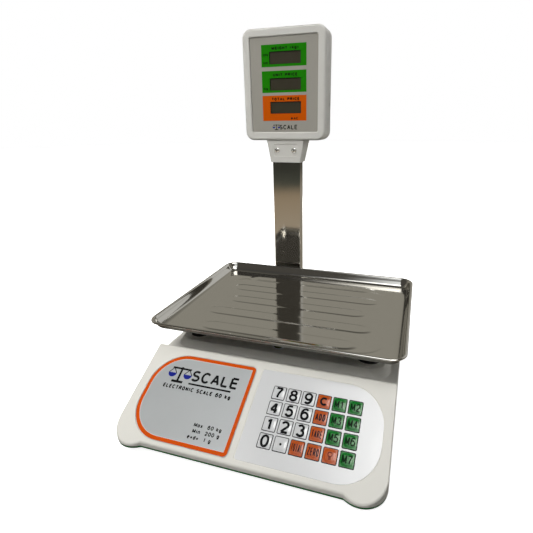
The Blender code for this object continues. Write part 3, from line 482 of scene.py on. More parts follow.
# Each sign's strokes in a box one wide and one high; a stroke that closes on itself starts at its right
SIGNS = {
    "0": (loop(0.5, 0.5, 0.5, 0.5),),
    "1": ([(0.16, 0.76), (0.36, 0.80), (0.50, 0.88), (0.57, 0.99)], [(0.57, 1), (0.57, 0)]),
    "2": (bow(0.48, 0.71, 0.46, 0.29, 165, -28) + [(0.04, 0.03)], [(0, 0), (1, 0)]),
    "3": (bow(0.46, 0.755, 0.40, 0.245, 155, -90), bow(0.46, 0.265, 0.50, 0.265, 90, -158)),
    "4": ([(0.70, 1), (0.70, 0)], [(0.66, 0.97), (0.02, 0.31)], [(0, 0.28), (1, 0.28)]),
    "5": ([(0.90, 1), (0.20, 1)], [(0.21, 1), (0.12, 0.49)], bow(0.46, 0.32, 0.52, 0.32, 150, -155)),
    "6": (loop(0.5, 0.32, 0.5, 0.32), bow(0.58, 0.5, 0.58, 0.5, 52, 190)),
    "7": ([(0, 1), (1, 1)], [(0.98, 0.98), (0.66, 0.62), (0.48, 0.34), (0.38, 0)]),
    "8": (loop(0.5, 0.765, 0.41, 0.235), loop(0.5, 0.275, 0.5, 0.275)),
    "9": (loop(0.5, 0.68, 0.5, 0.32), bow(0.42, 0.5, 0.58, 0.5, 232, 370)),
    "A": ([(0, 0), (0.5, 1)], [(0.5, 1), (1, 0)], [(0.18, 0.32), (0.82, 0.32)]),
    "C": (bow(0.54, 0.5, 0.54, 0.5, 42, 318),),
    "D": ([(0, 0), (0, 1)], [(0, 1), *bow(0.30, 0.5, 0.70, 0.5, 90, -90), (0, 0)]),
    "E": ([(0, 0), (0, 1)], [(0, 1), (1, 1)], [(0, 0.52), (0.9, 0.52)], [(0, 0), (1, 0)]),
    "L": ([(0, 1), (0, 0)], [(0, 0), (1, 0)]),
    "M": ([(0, 0), (0, 1)], [(0, 1), (0.5, 0.12)], [(0.5, 0.12), (1, 1)], [(1, 1), (1, 0)]),
    "O": (loop(0.5, 0.5, 0.5, 0.5),),
    "R": (
        [(0, 0), (0, 1)], [(0, 1), *bow(0.55, 0.755, 0.42, 0.245, 90, -90), (0, 0.51)],
        [(0.5, 0.5), (1, 0)],
    ),
    "T": ([(0, 1), (1, 1)], [(0.5, 1), (0.5, 0)]),
    "G": (bow(0.54, 0.5, 0.54, 0.5, 42, 335), [(0.58, 0.44), (1, 0.44)], [(1, 0.46), (1, 0.02)]),
    "H": ([(0, 0), (0, 1)], [(1, 0), (1, 1)], [(0, 0.52), (1, 0.52)]),
    "I": ([(0.5, 0), (0.5, 1)],),
    "N": ([(0, 0), (0, 1)], [(0, 1), (1, 0)], [(1, 0), (1, 1)]),
    "P": ([(0, 0), (0, 1)], [(0, 1), *bow(0.52, 0.74, 0.48, 0.26, 90, -90), (0, 0.48)]),
    "S": (bow(0.50, 0.755, 0.44, 0.245, 35, 268), bow(0.50, 0.255, 0.48, 0.255, 92, -148)),
    "U": ([(0, 1), *bow(0.5, 0.33, 0.5, 0.33, 180, 360), (1, 1)],),
    "W": ([(0, 1), (0.26, 0)], [(0.26, 0), (0.5, 0.85)], [(0.5, 0.85), (0.74, 0)], [(0.74, 0), (1, 1)]),
    "a": (loop(0.46, 0.36, 0.46, 0.36), [(1, 0.72), (1, 0)]),
    "d": (loop(0.46, 0.36, 0.46, 0.36), [(1, 1), (1, 0)]),
    "e": (bow(0.5, 0.36, 0.5, 0.36, 0, 312), [(0.04, 0.37), (1, 0.37)]),
    "g": (loop(0.46, 0.36, 0.46, 0.36), [(1, 0.72), *bow(0.5, -0.02, 0.5, 0.22, 0, -145)]),
    "i": ([(0.5, 0.72), (0.5, 0)], [(0.5, 1.02), (0.5, 0.92)]),
    "k": ([(0, 0), (0, 1)], [(0.92, 0.72), (0.04, 0.24)], [(0.32, 0.40), (1, 0)]),
    "n": ([(0, 0), (0, 0.72)], [*bow(0.5, 0.38, 0.5, 0.34, 180, 0), (1, 0)]),
    "x": ([(0, 0.72), (1, 0)], [(0, 0), (1, 0.72)]),
    "=": ([(0, 0.50), (1, 0.50)], [(0, 0.24), (1, 0.24)]),
    "(": (bow(1.1, 0.45, 0.9, 0.65, 140, 220),),
    ")": (bow(-0.1, 0.45, 0.9, 0.65, 40, -40),),
    " ": (),
    "Z": ([(0, 1), (1, 1)], [(0.97, 0.97), (0.03, 0.03)], [(0, 0), (1, 0)]),
}

# Each sign's width as a share of its height, where it isn't 0.64
WIDTHS = {
    "I": 0.12, "i": 0.12, "(": 0.26, ")": 0.26, " ": 0.26, "1": 0.46, "M": 0.82, "W": 0.98, "=": 0.56,
    "a": 0.50, "d": 0.50, "e": 0.52, "g": 0.50, "k": 0.50, "n": 0.48, "x": 0.52, "E": 0.56, "L": 0.54,
}

# How closely a curved stroke follows its surface, and how high and deep the ink goes
FINE_REACH, INK_TOP, INK_FOOT = 0.0007, 0.00005, -0.00003


def fine(points, reach):
    """The same path with more points, none further than reach from the next."""
    made = [points[0]]
    for a, b in zip(points, points[1:]):
        count = max(1, math.ceil(math.dist(a, b) / reach))
        made += [
            (a[0] + (b[0] - a[0]) * i / count, a[1] + (b[1] - a[1]) * i / count)
            for i in range(1, count + 1)
        ]
    return made


def ribbon(name, points, half, paint, lay, lift, closed=False, reach=FINE_REACH):
    """A stroke of ink, a thin closed strip. lay(x, y, lift) puts a point on the surface it is printed on."""
    points = fine(points + points[:1] if closed else points, reach)
    steps = (-1, -0.6, -0.2, 0.2, 0.6, 1) if reach == FINE_REACH else (-1, 1)
    if closed:
        points = points[:-1]
    rings = []
    last = len(points) - 1
    for i, (x, y) in enumerate(points):
        before = points[i - 1] if i or closed else points[i]
        after = points[(i + 1) % len(points)] if i < last or closed else points[i]
        along = Vector((after[0] - before[0], after[1] - before[1])).normalized()
        side = Vector((-along.y, along.x)) * half
        spots = [(x + side.x * k, y + side.y * k) for k in steps]
        top, foot = [lay(*spot, lift) for spot in spots], [lay(*spot, INK_FOOT) for spot in reversed(spots)]
        rings.append(top + foot)
    return skin(name, rings, (paint,), 50, closed)


def strokes(name, word, left, base, width, height, thick, paint, lay, reach=FINE_REACH):
    """One sign in a box whose sides the ink just touches. Each stroke lies a little over the one before."""
    parts = []
    for k, stroke in enumerate(SIGNS[word]):
        points = [
            (left + thick / 2 + x * (width - thick), base + thick / 2 + y * (height - thick))
            for x, y in stroke
        ]
        closed = len(stroke) == LOOP_STEPS + 1
        parts.append(ribbon(name, points, thick / 2, paint, lay, INK_TOP + 0.000004 * k, closed, reach))
    return parts


def lettering(name, lines, matrix, paint):
    """Flat words. lines are (words, x, y, height, stretch, stroke, anchor), with anchor 0 left to 1 right."""
    def lay(x, y, lift):
        return matrix @ Vector((x, y, lift))

    parts = []
    for words, x, y, height, stretch, thick, anchor in lines:
        cells = [WIDTHS.get(word, 0.64) * height * stretch + thick for word in words]
        gap = thick * 0.35 + height * 0.06
        x -= anchor * (sum(cells) + gap * (len(cells) - 1))
        for word, cell in zip(words, cells):
            parts += strokes(name, word, x, y, cell, height, thick, paint, lay, 0.004)
            x += cell + gap
    return join(name, parts)


def make_balance_mark(name, matrix, width):
    """A plain two-pan balance as a pictogram, laid out in tenths of its width."""
    unit = width / 10

    def shape(points, paint):
        return prism(name, [(x * unit, y * unit) for x, y in points], 0, 0.00003, matrix, (paint,))

    post, foot, beam = (-0.45, -3, 0.45, 3.2), (-2.6, -3.8, 2.6, -2.8), (-4.4, 2.1, 4.4, 2.9)
    parts = [shape(rectangle(*part), "black_ink") for part in (post, foot, beam)]
    cord, dish_y, hook_y = 0.22, 0.2, 2.4
    for side in (-1, 1):
        hook = side * 3.6
        parts.append(shape(arc((hook, dish_y), 1.9, 180, 360, 16), "blue_ink"))
        for end in (-1, 1):
            x = hook + end * 1.75
            line = ((x - cord, dish_y), (x + cord, dish_y), (hook + cord, hook_y), (hook - cord, hook_y))
            parts.append(shape(line, "black_ink"))
    return join(name, parts)


# ---- places


def place(obj, body, slot, *nodes):
    """Rides a piece on its body and hides the CAD nodes it stands for. Its slot is not used."""
    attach(obj, body)
    if nodes:
        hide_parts(*nodes)


def finish(obj, name, paint, angle, slot, stands_for, flats=False):
    """Paints and names a piece that was cut to shape, and places it on the base."""
    paint_over(obj, paint, angle)
    if flats:
        add_flat_normals(obj)
    obj.name = name
    place(obj, "base", slot, stands_for)


def middle_of(name):
    low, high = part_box(name)
    return [(a + b) / 2 for a, b in zip(low, high)]


def over(name, z=0.0):
    """A frame above or below a CAD node's middle, at height z."""
    x, y, _ = middle_of(name)
    return shift((x, y, z))


def panel_box(names):
    """Lowest and highest corner of some CAD nodes, measured in the sloping panel's frame."""
    back = PANEL.inverted()
    points = [back @ v.co for name in names for v in NODES[name].data.vertices]
    return [Vector([pick(p[i] for p in points) for i in range(3)]) for pick in (min, max)]


def panel_middle(name):
    low, high = panel_box([name])
    return (low.x + high.x) / 2, (low.y + high.y) / 2


# ---- base


def panel_height(y):
    return RIDGE_Z - (RIDGE_Y - y) * math.tan(PANEL_TILT)


def sky(drop):
    """Everything above the housing's side profile, with the profile lowered by drop."""
    far, high = 0.26, 0.30
    slant = drop / math.cos(PANEL_TILT)
    profile = (
        (-far, panel_height(-far) - slant),
        (RIDGE_Y, RIDGE_Z - slant),
        (RIDGE_Y + RIDGE_WIDTH - drop, RIDGE_Z - slant),
        (LEDGE_Y - drop, LEDGE_Z - drop),
        (far, LEDGE_Z - drop),
        (far, high),
        (-far, high),
    )
    return skin("sky", [[Vector((x, y, z)) for y, z in profile] for x in (-far, far)])


def deck(inset):
    levels = []
    for reach in (DECK_REACH, 0):
        flare = DECK_FLARE * reach
        half = DECK_HALF_WIDTH + flare
        front_to_rear = (DECK_FRONT_Y - flare, DECK_REAR_Y + flare)
        outline = rounded((-half, half), front_to_rear, DECK_CORNER, 10, -inset)
        levels.append((outline, DECK_Z - (DECK_Z - LEDGE_Z) * reach - inset))
    return stack("deck", levels)


def housing_block(inset, bottom):
    shape = prism("housing", base_outline(inset), bottom, 0.1)
    cut(shape, sky(inset))
    return fuse(shape, deck(inset))


def housing_round(middle, turn):
    """How much each edge of the housing is rounded, as a share of the full width."""
    if turn < 12:
        return 0.0
    if middle.z < SEAM_Z + 0.001:
        return 0.16
    if turn > 40 and (abs(middle.x) > DECK_HALF_WIDTH + 0.008 or middle.y < -0.15 or middle.y > 0.165):
        return 1.0
    if abs(middle.y - RIDGE_Y) < 0.008:
        return 0.30
    return 0.45


def make_housing():
    shape = dissolve_flats(housing_block(0.0, SEAM_Z))
    weighted_bevel(shape, 0.0020, housing_round, 5)
    cut(shape, housing_block(WALL, SEAM_Z - FAR))
    collar = ((0.0190, -0.001), (0.0190, 0.0004), (0.0186, 0.0009), (0.0181, 0.001), (0.0176, 0.001))
    bore = ((0.0165, -FAR), (0.0165, 0.0004), (0.0172, 0.0012), (0.0172, FAR))
    for name in CUSHIONS:
        at = over(name, DECK_Z)
        fuse(shape, turned("collar", collar, at))
        cut(shape, turned("bore", bore, at))
    cut(shape, drill(0.0081, over("bubble_level", DECK_Z)))
    for sheet in (LABEL, OVERLAY):
        seat, edge = (rounded(*sheet, SHEET_STEPS, grow) for grow in (0.0007, 0.0011))
        cut(shape, prism("seat", seat, -0.0012, FAR, PANEL))
        cut(shape, stack("edge", ((seat, -0.0005), (edge, 0.00015), (edge, FAR)), PANEL))
    low, high = panel_box(KEY_NAMES)
    room = 0.0008
    window = rounded((low.x - room, high.x + room), (low.y - room, high.y + room), 0.002, 4)
    cut(shape, prism("window", window, -FAR, FAR, PANEL))
    across, up = ((POLE_LOW[i] - 2 * GAP, POLE_HIGH[i] + 2 * GAP) for i in (0, 1))
    cut(shape, prism("hole", rounded(across, up, 0.0028, 6), 0.05, 0.09))
    for name, half_x, half_z in (("power_switch_frame", 0.0105, 0.0075), ("mains_inlet", 0.0140, 0.0102)):
        x, _, z = middle_of(name)
        low, high = (x - half_x, REAR_Y - 0.006, z - half_z), (x + half_x, REAR_Y + 0.006, z + half_z)
        cut(shape, block("hole", low, high))
    finish(shape, "housing_shell", "housing_plastic", 22, "housing_white", "upper_housing", True)


def make_tray():
    def tray_round(middle, turn):
        if turn < 30:
            return 0.0
        return 1.0 if middle.z < TRAY_BOTTOM + 0.001 else 0.25

    tray = prism("tray", base_outline(0.0004), TRAY_BOTTOM, TRAY_TOP)
    weighted_bevel(tray, 0.0012, tray_round, 3)
    lip = prism("lip", base_outline(WALL + 0.0004), TRAY_TOP - 0.001, TRAY_LIP)
    cut(lip, prism("inside", base_outline(WALL + 0.0024), TRAY_TOP - 0.002, 0.03))
    fuse(tray, lip)
    for name in FEET:
        fuse(tray, turned("boss", ((0.009, TRAY_BOTTOM + 0.001), (0.009, 0.020)), over(name)))
        cut(tray, turned("hole", ((0.0043, 0), (0.0043, 0.03)), over(name), 32))
    low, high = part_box("main_board")
    post, inward = ((0.003, TRAY_BOTTOM + 0.001), (0.003, low[2] - GAP)), 0.006
    for x in (low[0] + inward, high[0] - inward):
        for y in (low[1] + inward, high[1] - inward):
            fuse(tray, turned("post", post, shift((x, y, 0)), 16))
    floor, rim = (rounded((-0.116, 0.116), (-0.118, 0.086), 0.010, 8, grow) for grow in (0.0, 0.0012))
    cut(tray, stack("sunk", ((floor, TRAY_BOTTOM + 0.0011), (rim, TRAY_BOTTOM - 0.0001), (rim, 0.0))))
    recess = ((0.0046, 0), (0.0046, TRAY_BOTTOM + 0.0004), (0.0042, TRAY_BOTTOM + 0.0020))
    sides = (-0.140, -0.040), (0.140, -0.040), (-0.140, 0.090), (0.145, 0.080)
    for x, y in (*sides, (-0.030, 0.175), (0.0, -0.155)):
        at = shift((x, y, 0))
        cut(tray, turned("recess", recess, at, 32))
        cut(tray, turned("hole", ((0.0017, 0), (0.0017, TRAY_TOP + 0.001)), at, 20))
    low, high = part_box("battery_door")
    room = 0.0007
    cut(tray, block("hole", (low[0] - room, low[1] - room, 0), (high[0] + room, high[1] + room, 0.03)))
    finish(tray, "base_tray", "tray_plastic", 30, "tray_green", "lower_base")


def make_battery_door():
    """A flat door with a hollow for the finger and grip lines beside it."""
    low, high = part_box("battery_door")
    door = block("door", low, high)
    weighted_bevel(door, 0.0006, lambda middle, turn: 1.0 if turn > 30 else 0.0, 3)
    x, y = (low[0] + high[0]) / 2, low[1] + 0.014
    hollow = ((0.0105, 0), (0.0105, low[2] + 0.0002), (0.0070, low[2] + 0.0014))
    cut(door, turned("hollow", hollow, shift((x, y, 0)), 40))
    half, thick, pitch = 0.016, 0.0012, 0.0030
    for k in range(5):
        line = y + 0.0145 + k * pitch
        cut(door, block("grip", (x - half, line, 0), (x + half, line + thick, low[2] + 0.0007)))
    finish(door, "battery_door_detail", "tray_plastic", 30, "tray_green", "battery_door")


def make_feet():
    pad = (
        (0.0085, 0.0), (0.0100, 0.0), (0.0106, 0.0003), (0.0110, 0.0010), (0.0110, 0.0036), (0.0106, 0.0044),
        (0.0092, 0.0050), (0.0044, 0.0050), (0.0040, 0.0054),
    )
    thread = []
    for i in range(20):
        z = 0.0062 + i * 0.0009
        thread += [(0.0040, z - 0.0003), (0.0036, z + 0.00015)]
    for name in FEET:
        foot = turned(name + "_detail", (*pad, *thread, (0.0034, 0.024)), over(name), 40, ("cushion_rubber",))
        place(foot, name, "black_rubber", name)


# ---- label and keypad


def make_label():
    plate = prism("label", rounded(*LABEL, SHEET_STEPS), SHEET_BOTTOM, SHEET_TOP, PANEL, ("label_foil",))
    place(plate, "base", "label_silver", "label_plate")
    for name, outer, inner, lift, paint in (
        ("label_border", -0.0002, -0.0046, 0.00004, "orange_ink"),
        ("label_line", -0.0046, -0.0051, 0.00003, "white_ink"),
    ):
        edges = [rounded(*LABEL, SHEET_STEPS, grow) for grow in (outer, inner)]
        line = band(name, *edges, SHEET_TOP - 0.00005, SHEET_TOP + lift, PANEL, paint)
        place(line, "base", "label_silver")
    at = PANEL @ shift((0, 0, SHEET_TOP))
    words = lettering(
        "label_words",
        (
            ("SCALE", -0.0935, -0.0425, 0.0150, 0.96, 0.0029, 0),
            ("ELECTRONIC SCALE 60 kg", -0.1265, -0.0562, 0.0054, 0.74, 0.00140, 0),
            ("Max  60 kg", -0.0275, -0.0950, 0.0048, 0.80, 0.00110, 1),
            ("Min  200 g", -0.0275, -0.1020, 0.0048, 0.80, 0.00110, 1),
            ("e=d=  1 g", -0.0355, -0.1090, 0.0048, 0.80, 0.00110, 1),
        ),
        at,
        "black_ink",
    )
    underline = rectangle(-0.0935, -0.0474, -0.0345, -0.0452)
    rule = prism("label_rule", underline, INK_FOOT, 0.00004, at, ("black_ink",))
    mark = make_balance_mark("label_mark", at @ shift((-0.1105, -0.0362, 0)), 0.031)
    for piece in (words, rule, mark):
        place(piece, "base", "label_silver")


# A key's sides, as (grow, z)
KEY_SKIRT = (
    (0.0005, -0.0017), (0.0005, -0.0010), (0, -0.0009), (0, 0.00014), (-0.00012, 0.00024), (-0.0010, 0.00024),
)

# Words on the keys, as (word, height, width, stroke)
LEGENDS = {
    "clear": ("C", 0.0102, 0.0092, 0.0025),
    "add": ("ADD", 0.0082, 0.0114, 0.00130),
    "tare": ("TARE", 0.0082, 0.0122, 0.00100),
    "total": ("TOTAL", 0.0082, 0.0130, 0.00080),
    "zero": ("ZERO", 0.0082, 0.0124, 0.00100),
}


def key_height(x, y):
    """Height of a key's pillow over its own middle, x and y from -1 to 1 across it."""
    far = (abs(x) ** CAP_POWER + abs(y) ** CAP_POWER) ** (1 / CAP_POWER)
    slope_start, slope_end = 0.60, 0.94
    rise = ease((slope_end - far) / (slope_end - slope_start))
    swell = max(0.0, 1 - (far / slope_start) ** 2)
    return CAP_RIM + (CAP_CROWN - CAP_RIM) * rise + CAP_SWELL * swell


def on_key(x, y, lift):
    return Vector((x, y, key_height(x / CAP_HALF_X, y / CAP_HALF_Y) + lift))


def key_colour(key):
    if key.startswith("m"):
        return "key_green"
    return "key_orange" if key in LEGENDS or key == "light" else "key_white"


def make_key(name):
    at = PANEL @ shift((*panel_middle(name), 0))
    key = name.removeprefix("key_")
    colour = key_colour(key)
    skirt = [
        (rounded_about(0, 0, KEY_HALF_X, KEY_HALF_Y, KEY_CORNER, 6, grow), z)
        for grow, z in KEY_SKIRT
    ]
    parts = [stack(name, skirt, at, ("black_ink",), 40), key_cap(name, at, colour + "_film")]
    if key.isdigit():
        parts += legend(name, key, 0.0142, 0.0102, 0.0027, at, "black_ink")
    elif key.startswith("m"):
        parts += legend(name, key.upper(), 0.0092, 0.0112, 0.00125, at, "key_green_ink")
    elif key == "light":
        parts += lamp(name, at)
    elif key == "point":
        top = key_height(0, 0)
        dot = ((0.0014, top - 0.0001), (0.0014, top), (0.0011, top + 0.00008), (0.0005, top + 0.00010))
        parts.append(turned(name, dot, at, 24, ("black_ink",)))
    else:
        parts += legend(name, *LEGENDS[key], at, "black_ink")
    place(join(name + "_cap", parts), name, colour, name)


def key_cap(name, at, film):
    """The coloured pillow, a fine grid with round corners and a short skirt."""
    straight_x, straight_y = CAP_HALF_X - CAP_CORNER, CAP_HALF_Y - CAP_CORNER

    def spot(i, j):
        x, y = (2 * i / CAP_STEPS - 1) * CAP_HALF_X, (2 * j / CAP_STEPS - 1) * CAP_HALF_Y
        out_x, out_y = abs(x) - straight_x, abs(y) - straight_y
        if out_x > 0 and out_y > 0:
            scale = max(out_x, out_y) / math.hypot(out_x, out_y)
            x = math.copysign(straight_x + out_x * scale, x)
            y = math.copysign(straight_y + out_y * scale, y)
        return on_key(x, y, 0.00002)

    mesh = bmesh.new()
    face_grid(mesh, [[spot(i, j) for i in range(CAP_STEPS + 1)] for j in range(CAP_STEPS + 1)])
    made = bmesh.ops.extrude_edge_only(mesh, edges=[e for e in mesh.edges if e.is_boundary])
    for part in made["geom"]:
        if isinstance(part, bmesh.types.BMVert):
            part.co.z = 0.0002
    bmesh.ops.holes_fill(mesh, edges=[e for e in mesh.edges if e.is_boundary], sides=0)
    bmesh.ops.transform(mesh, matrix=at, verts=mesh.verts)
    return as_object(name, mesh, (film,), 50)


def legend(name, words, height, width, thick, at, paint):
    """Words in plain strokes, centred on the key and laid over its pillow."""
    def lay(x, y, lift):
        return at @ on_key(x, y, lift + 0.00003)

    gap = thick * 0.6
    cell = (width - gap * (len(words) - 1)) / len(words)
    parts = []
    for i, word in enumerate(words):
        left = -width / 2 + i * (cell + gap)
        parts += strokes(name, word, left, -height / 2, cell, height, thick, paint, lay)
    return parts


def lamp(name, at):
    """A plain lamp sign: a bulb over its cap."""
    def lay(x, y, lift):
        return at @ on_key(x, y, lift)

    lift, half_cap = 0.00006, 0.0013
    parts = [ribbon(name, loop(0, 0.0013, 0.0023, 0.0023), 0.0004, "brown_ink", lay, lift, True)]
    for k in range(3):
        y = -0.0016 - k * 0.0011
        parts.append(ribbon(name, [(-half_cap, y), (half_cap, y)], 0.00034, "brown_ink", lay, lift))
    return parts


def make_overlay():
    sheet = prism("sheet", rounded(*OVERLAY, SHEET_STEPS), SHEET_BOTTOM, SHEET_TOP, PANEL)
    room = 0.00022
    for name in KEY_NAMES:
        hole = rounded_about(*panel_middle(name), KEY_HALF_X + room, KEY_HALF_Y + room, KEY_CORNER, 5)
        cut(sheet, prism("window", hole, -FAR, FAR, PANEL))
    finish(sheet, "keypad_sheet", "keypad_film", 30, "overlay_film", "keypad_overlay")


# ---- pan


def pan_relief(x, y):
    """Height of the field and of the ribs pressed into the pan's floor."""
    middle_y = (PAN_LOW.y + PAN_HIGH.y) / 2
    rib = 0.0
    for k in range(-2, 3):
        across = abs(y - middle_y - k * RIB_PITCH)
        along = max(0.0, abs(x) - (0.100 if k % 2 else 0.086))
        far = math.hypot(across, along * 0.5) - RIB_HALF
        rib = max(rib, ease(1 - far / RIB_SLOPE))
    out_x = abs(x) - (FIELD_HALF_X - FIELD_CORNER)
    out_y = max(y - (FIELD_HIGH_Y - FIELD_CORNER), FIELD_LOW_Y + FIELD_CORNER - y)
    far = math.hypot(max(out_x, 0), max(out_y, 0)) - FIELD_CORNER
    return RIB_HEIGHT * rib + FIELD_HEIGHT * ease(-far / FIELD_SLOPE)


def pan_outline(inset):
    """The pan's outline drawn in, with corners that stay round right down to the floor."""
    across, up = ((PAN_LOW[i] + inset, PAN_HIGH[i] - inset) for i in (0, 1))
    return rounded(across, up, max(PAN_FLOOR_CORNER, PAN_CORNER - inset), 14)


def make_pan():
    rim, floor = PAN_HIGH.z, PAN_FLOOR
    under = (
        (0.0200, floor - 0.0010), (0.0148, floor - 0.0006), (0.0115, floor + 0.0004),
        (0.0086, floor + 0.0026), (0.0064, floor + 0.0056), (0.0051, rim - 0.0037), (0.0042, rim - 0.0026),
        (0.0035, rim - 0.0027), (0.0025, rim - 0.0029), (0.0016, rim - 0.0029), (0.0007, rim - 0.0025),
    )
    upper = (
        (0.0001, rim - 0.0019), (0.0, rim - 0.0013), (0.0002, rim - 0.0008), (0.0008, rim - 0.0003),
        (0.0017, rim), (0.0028, rim - 0.0002), (0.0039, rim - 0.0009), (0.0048, rim - 0.0023),
        (0.0057, rim - 0.0045), (0.0072, floor + 0.0060), (0.0092, floor + 0.0034), (0.0120, floor + 0.0014),
        (0.0150, floor + 0.0004), (0.0190, floor),
    )
    mesh = bmesh.new()
    loops = [[mesh.verts.new((x, y, z)) for x, y in pan_outline(inset)] for inset, z in (*under, *upper)]
    for k, (low, high) in enumerate(zip(loops, loops[1:])):
        for i, corner in enumerate(low):
            j = (i + 1) % len(low)
            face = mesh.faces.new((corner, low[j], high[j], high[i]))
            # The outer wall's faces take the painted-shade steel; the inside takes the plain steel.
            face.material_index = 1 if k < len(under) - 1 else 0
    pan_floor(mesh, loops[-1], floor)
    done = set(mesh.faces)
    pan_floor(mesh, loops[0], floor - PAN_SHEET)
    # The floor's underside also takes the painted-shade steel.
    for face in mesh.faces:
        if face not in done:
            face.material_index = 1
    pan = as_object("pan_detail", mesh, ("pan_steel", "pan_steel_painted_shade"), 60)
    place(pan, "pan", "polished_stainless", "weighing_pan")


def pan_floor(mesh, rim, level):
    """Fills a loop with a flat margin and a fine grid that carries the ribs."""
    count_x, count_y = 190, 200
    half_x = PAN_HIGH.x - PAN_MARGIN
    low_y, high_y = PAN_LOW.y + PAN_MARGIN, PAN_HIGH.y - PAN_MARGIN
    rows = []
    for j in range(count_y + 1):
        y = low_y + (high_y - low_y) * j / count_y
        across = [-half_x + 2 * half_x * i / count_x for i in range(count_x + 1)]
        rows.append([(x, y, level + pan_relief(x, y)) for x in across])
    grid = face_grid(mesh, rows)
    right, left = [row[-1] for row in grid[1:]], [row[0] for row in reversed(grid[1:-1])]
    border = grid[0] + right + list(reversed(grid[-1][:-1])) + left
    edges = [mesh.edges.get(ends) for ring in (rim, border) for ends in zip(ring, ring[1:] + ring[:1])]
    bmesh.ops.triangle_fill(mesh, use_beauty=True, use_dissolve=False, edges=edges)


def make_cushions():
    bottom, top = (corner[2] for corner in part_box("cushion_front_left"))
    profile = (
        (0.0053, top - 0.014), (0.0053, bottom), (0.0142, bottom), (0.0150, bottom + 0.0008),
        (0.0150, DECK_Z + 0.0012), (0.0146, DECK_Z + 0.0022), (0.0124, top - 0.0060), (0.0120, top - 0.0016),
        (0.0116, top - 0.0006), (0.0108, top),
    )
    for name in CUSHIONS:
        cushion = turned(name + "_detail", profile, over(name), paints=("cushion_rubber",))
        place(cushion, "platform", "black_rubber", name)


# ---- pole and head


def make_pole():
    across, up = ((POLE_LOW[i], POLE_HIGH[i]) for i in (0, 1))
    low, high, corner, wall = POLE_LOW[2], POLE_HIGH[2], 0.0024, 0.0012
    pole = prism("tube", rounded(across, up, corner), low, high)
    cut(pole, prism("bore", rounded(across, up, corner, grow=-wall), low - FAR, high + FAR))
    for side in (-1, 1):
        cut(pole, drill(0.002, facing(POLE_X + side * SCREW_X, POLE_LOW[1], SCREW_Z, -1), 0.003, 24))
    finish(pole, "pole_tube", "pole_steel", 30, "polished_stainless", "pole")


def head_outline(inset, steps=12):
    across = (POLE_X - HEAD_HALF_WIDTH, POLE_X + HEAD_HALF_WIDTH)
    return rounded(across, (HEAD_BOTTOM, HEAD_TOP), HEAD_CORNER, steps, -inset)


def make_head_shell(name, piece, side, neck_bottom, neck_top, overlay):
    """Half of the head with its half of the neck, which reaches neck_bottom and neck_top off the seam."""
    def at(depth):
        return HEAD_MID_Y + side * depth

    def neck_round(middle, turn):
        """Only the neck's two outer upright edges, below the head."""
        outer = abs(middle.y - at(neck_bottom)) < 0.007
        outer = outer and abs(abs(middle.x - POLE_X) - NECK_HALF_BOTTOM) < 0.01
        return 1.0 if outer and middle.z < HEAD_BOTTOM and turn > 30 else 0.0

    seam, face, radius = GAP / 2, HEAD_HALF_DEPTH, HEAD_ROUND
    levels = [(0.0009, seam), (0.0002, seam + 0.0007), (0, seam + 0.0011)]
    for k in range(9):
        angle = math.radians(90 * k / 8)
        levels.append((radius * (1 - math.cos(angle)), face - radius + radius * math.sin(angle)))
    shell = stack(piece, [(head_outline(inset), at(depth)) for inset, depth in levels], STANDING)

    levels = []
    for half, far, z in ((NECK_HALF_BOTTOM, neck_bottom, NECK_BOTTOM), (NECK_HALF_TOP, neck_top, NECK_TOP)):
        low_y, high_y = sorted((at(seam), at(far)))
        levels.append((rectangle(POLE_X - half, low_y, POLE_X + half, high_y), z))
    neck = stack("neck", levels)
    weighted_bevel(neck, 0.0022, neck_round, 4)
    fuse(shell, neck)

    inside = sorted((at(-0.001), at(face - 0.0060)))
    cut(shell, prism("inside", head_outline(WALL, 6), *inside, STANDING))
    low_y, high_y = sorted((at(-0.001), POLE_HIGH[1] + GAP if side > 0 else POLE_LOW[1] - GAP))
    low, high = (POLE_LOW[0] - GAP, low_y, NECK_BOTTOM - FAR), (POLE_HIGH[0] + GAP, high_y, NECK_TOP)
    cut(shell, block("socket", low, high))

    across, _, up = ((a - GAP, b + GAP) for a, b in zip(*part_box(overlay)))
    recess = (
        (0.0, face - PRINT_RECESS - PRINT_SHEET - GAP), (0.0, face - 0.0012), (0.0005, face - 0.0005),
        (0.0016, face + 0.0001), (0.0040, face + 0.004),
    )
    levels = [(rounded(across, up, 0.0026, 6, grow), at(depth)) for grow, depth in recess]
    cut(shell, stack("recess", levels, STANDING))
    x, half, room = POLE_X - side * LCD_X, LCD_HALF_WIDTH + 0.0028, 0.0125
    low_y, high_y = sorted((at(0), at(face + FAR)))
    low, high = (x - half, low_y, LCD_HEIGHTS[0] - room), (x + half, high_y, LCD_HEIGHTS[-1] + room)
    cut(shell, block("window", low, high))
    if side < 0:
        neck_panel(shell, at(neck_bottom))
    seam_notch(shell, side)
    finish(shell, piece, "head_plastic_painted_shade", 28, "housing_white", name, True)


def neck_panel(shell, y):
    """The shallow sunk field round the two screws, and the screw holes."""
    field, edge = (rounded_about(POLE_X, SCREW_Z, 0.0205, 0.0095, 0.0015, 4, grow) for grow in (0.0, 0.0006))
    cut(shell, stack("field", ((field, y + 0.0008), (edge, y - 0.0001), (edge, y - FAR)), STANDING))
    for side in (-1, 1):
        cut(shell, drill(0.0020, facing(POLE_X + side * SCREW_X, y, SCREW_Z, -1), 0.006, 24))


def seam_notch(shell, side):
    """A small notch by the seam at the head's right side, one in each shell."""
    notches = {-1: (0.0016, -0.0042, FAR, 0.4455, 0.4527), 1: (0.0014, 0.0040, 0.0080, 0.3954, 0.4015)}
    depth, low_y, high_y, low_z, high_z = notches[side]
    x = POLE_X + HEAD_HALF_WIDTH
    cut(shell, block("notch", (x - depth, HEAD_MID_Y + low_y, low_z), (x + FAR, HEAD_MID_Y + high_y, high_z)))


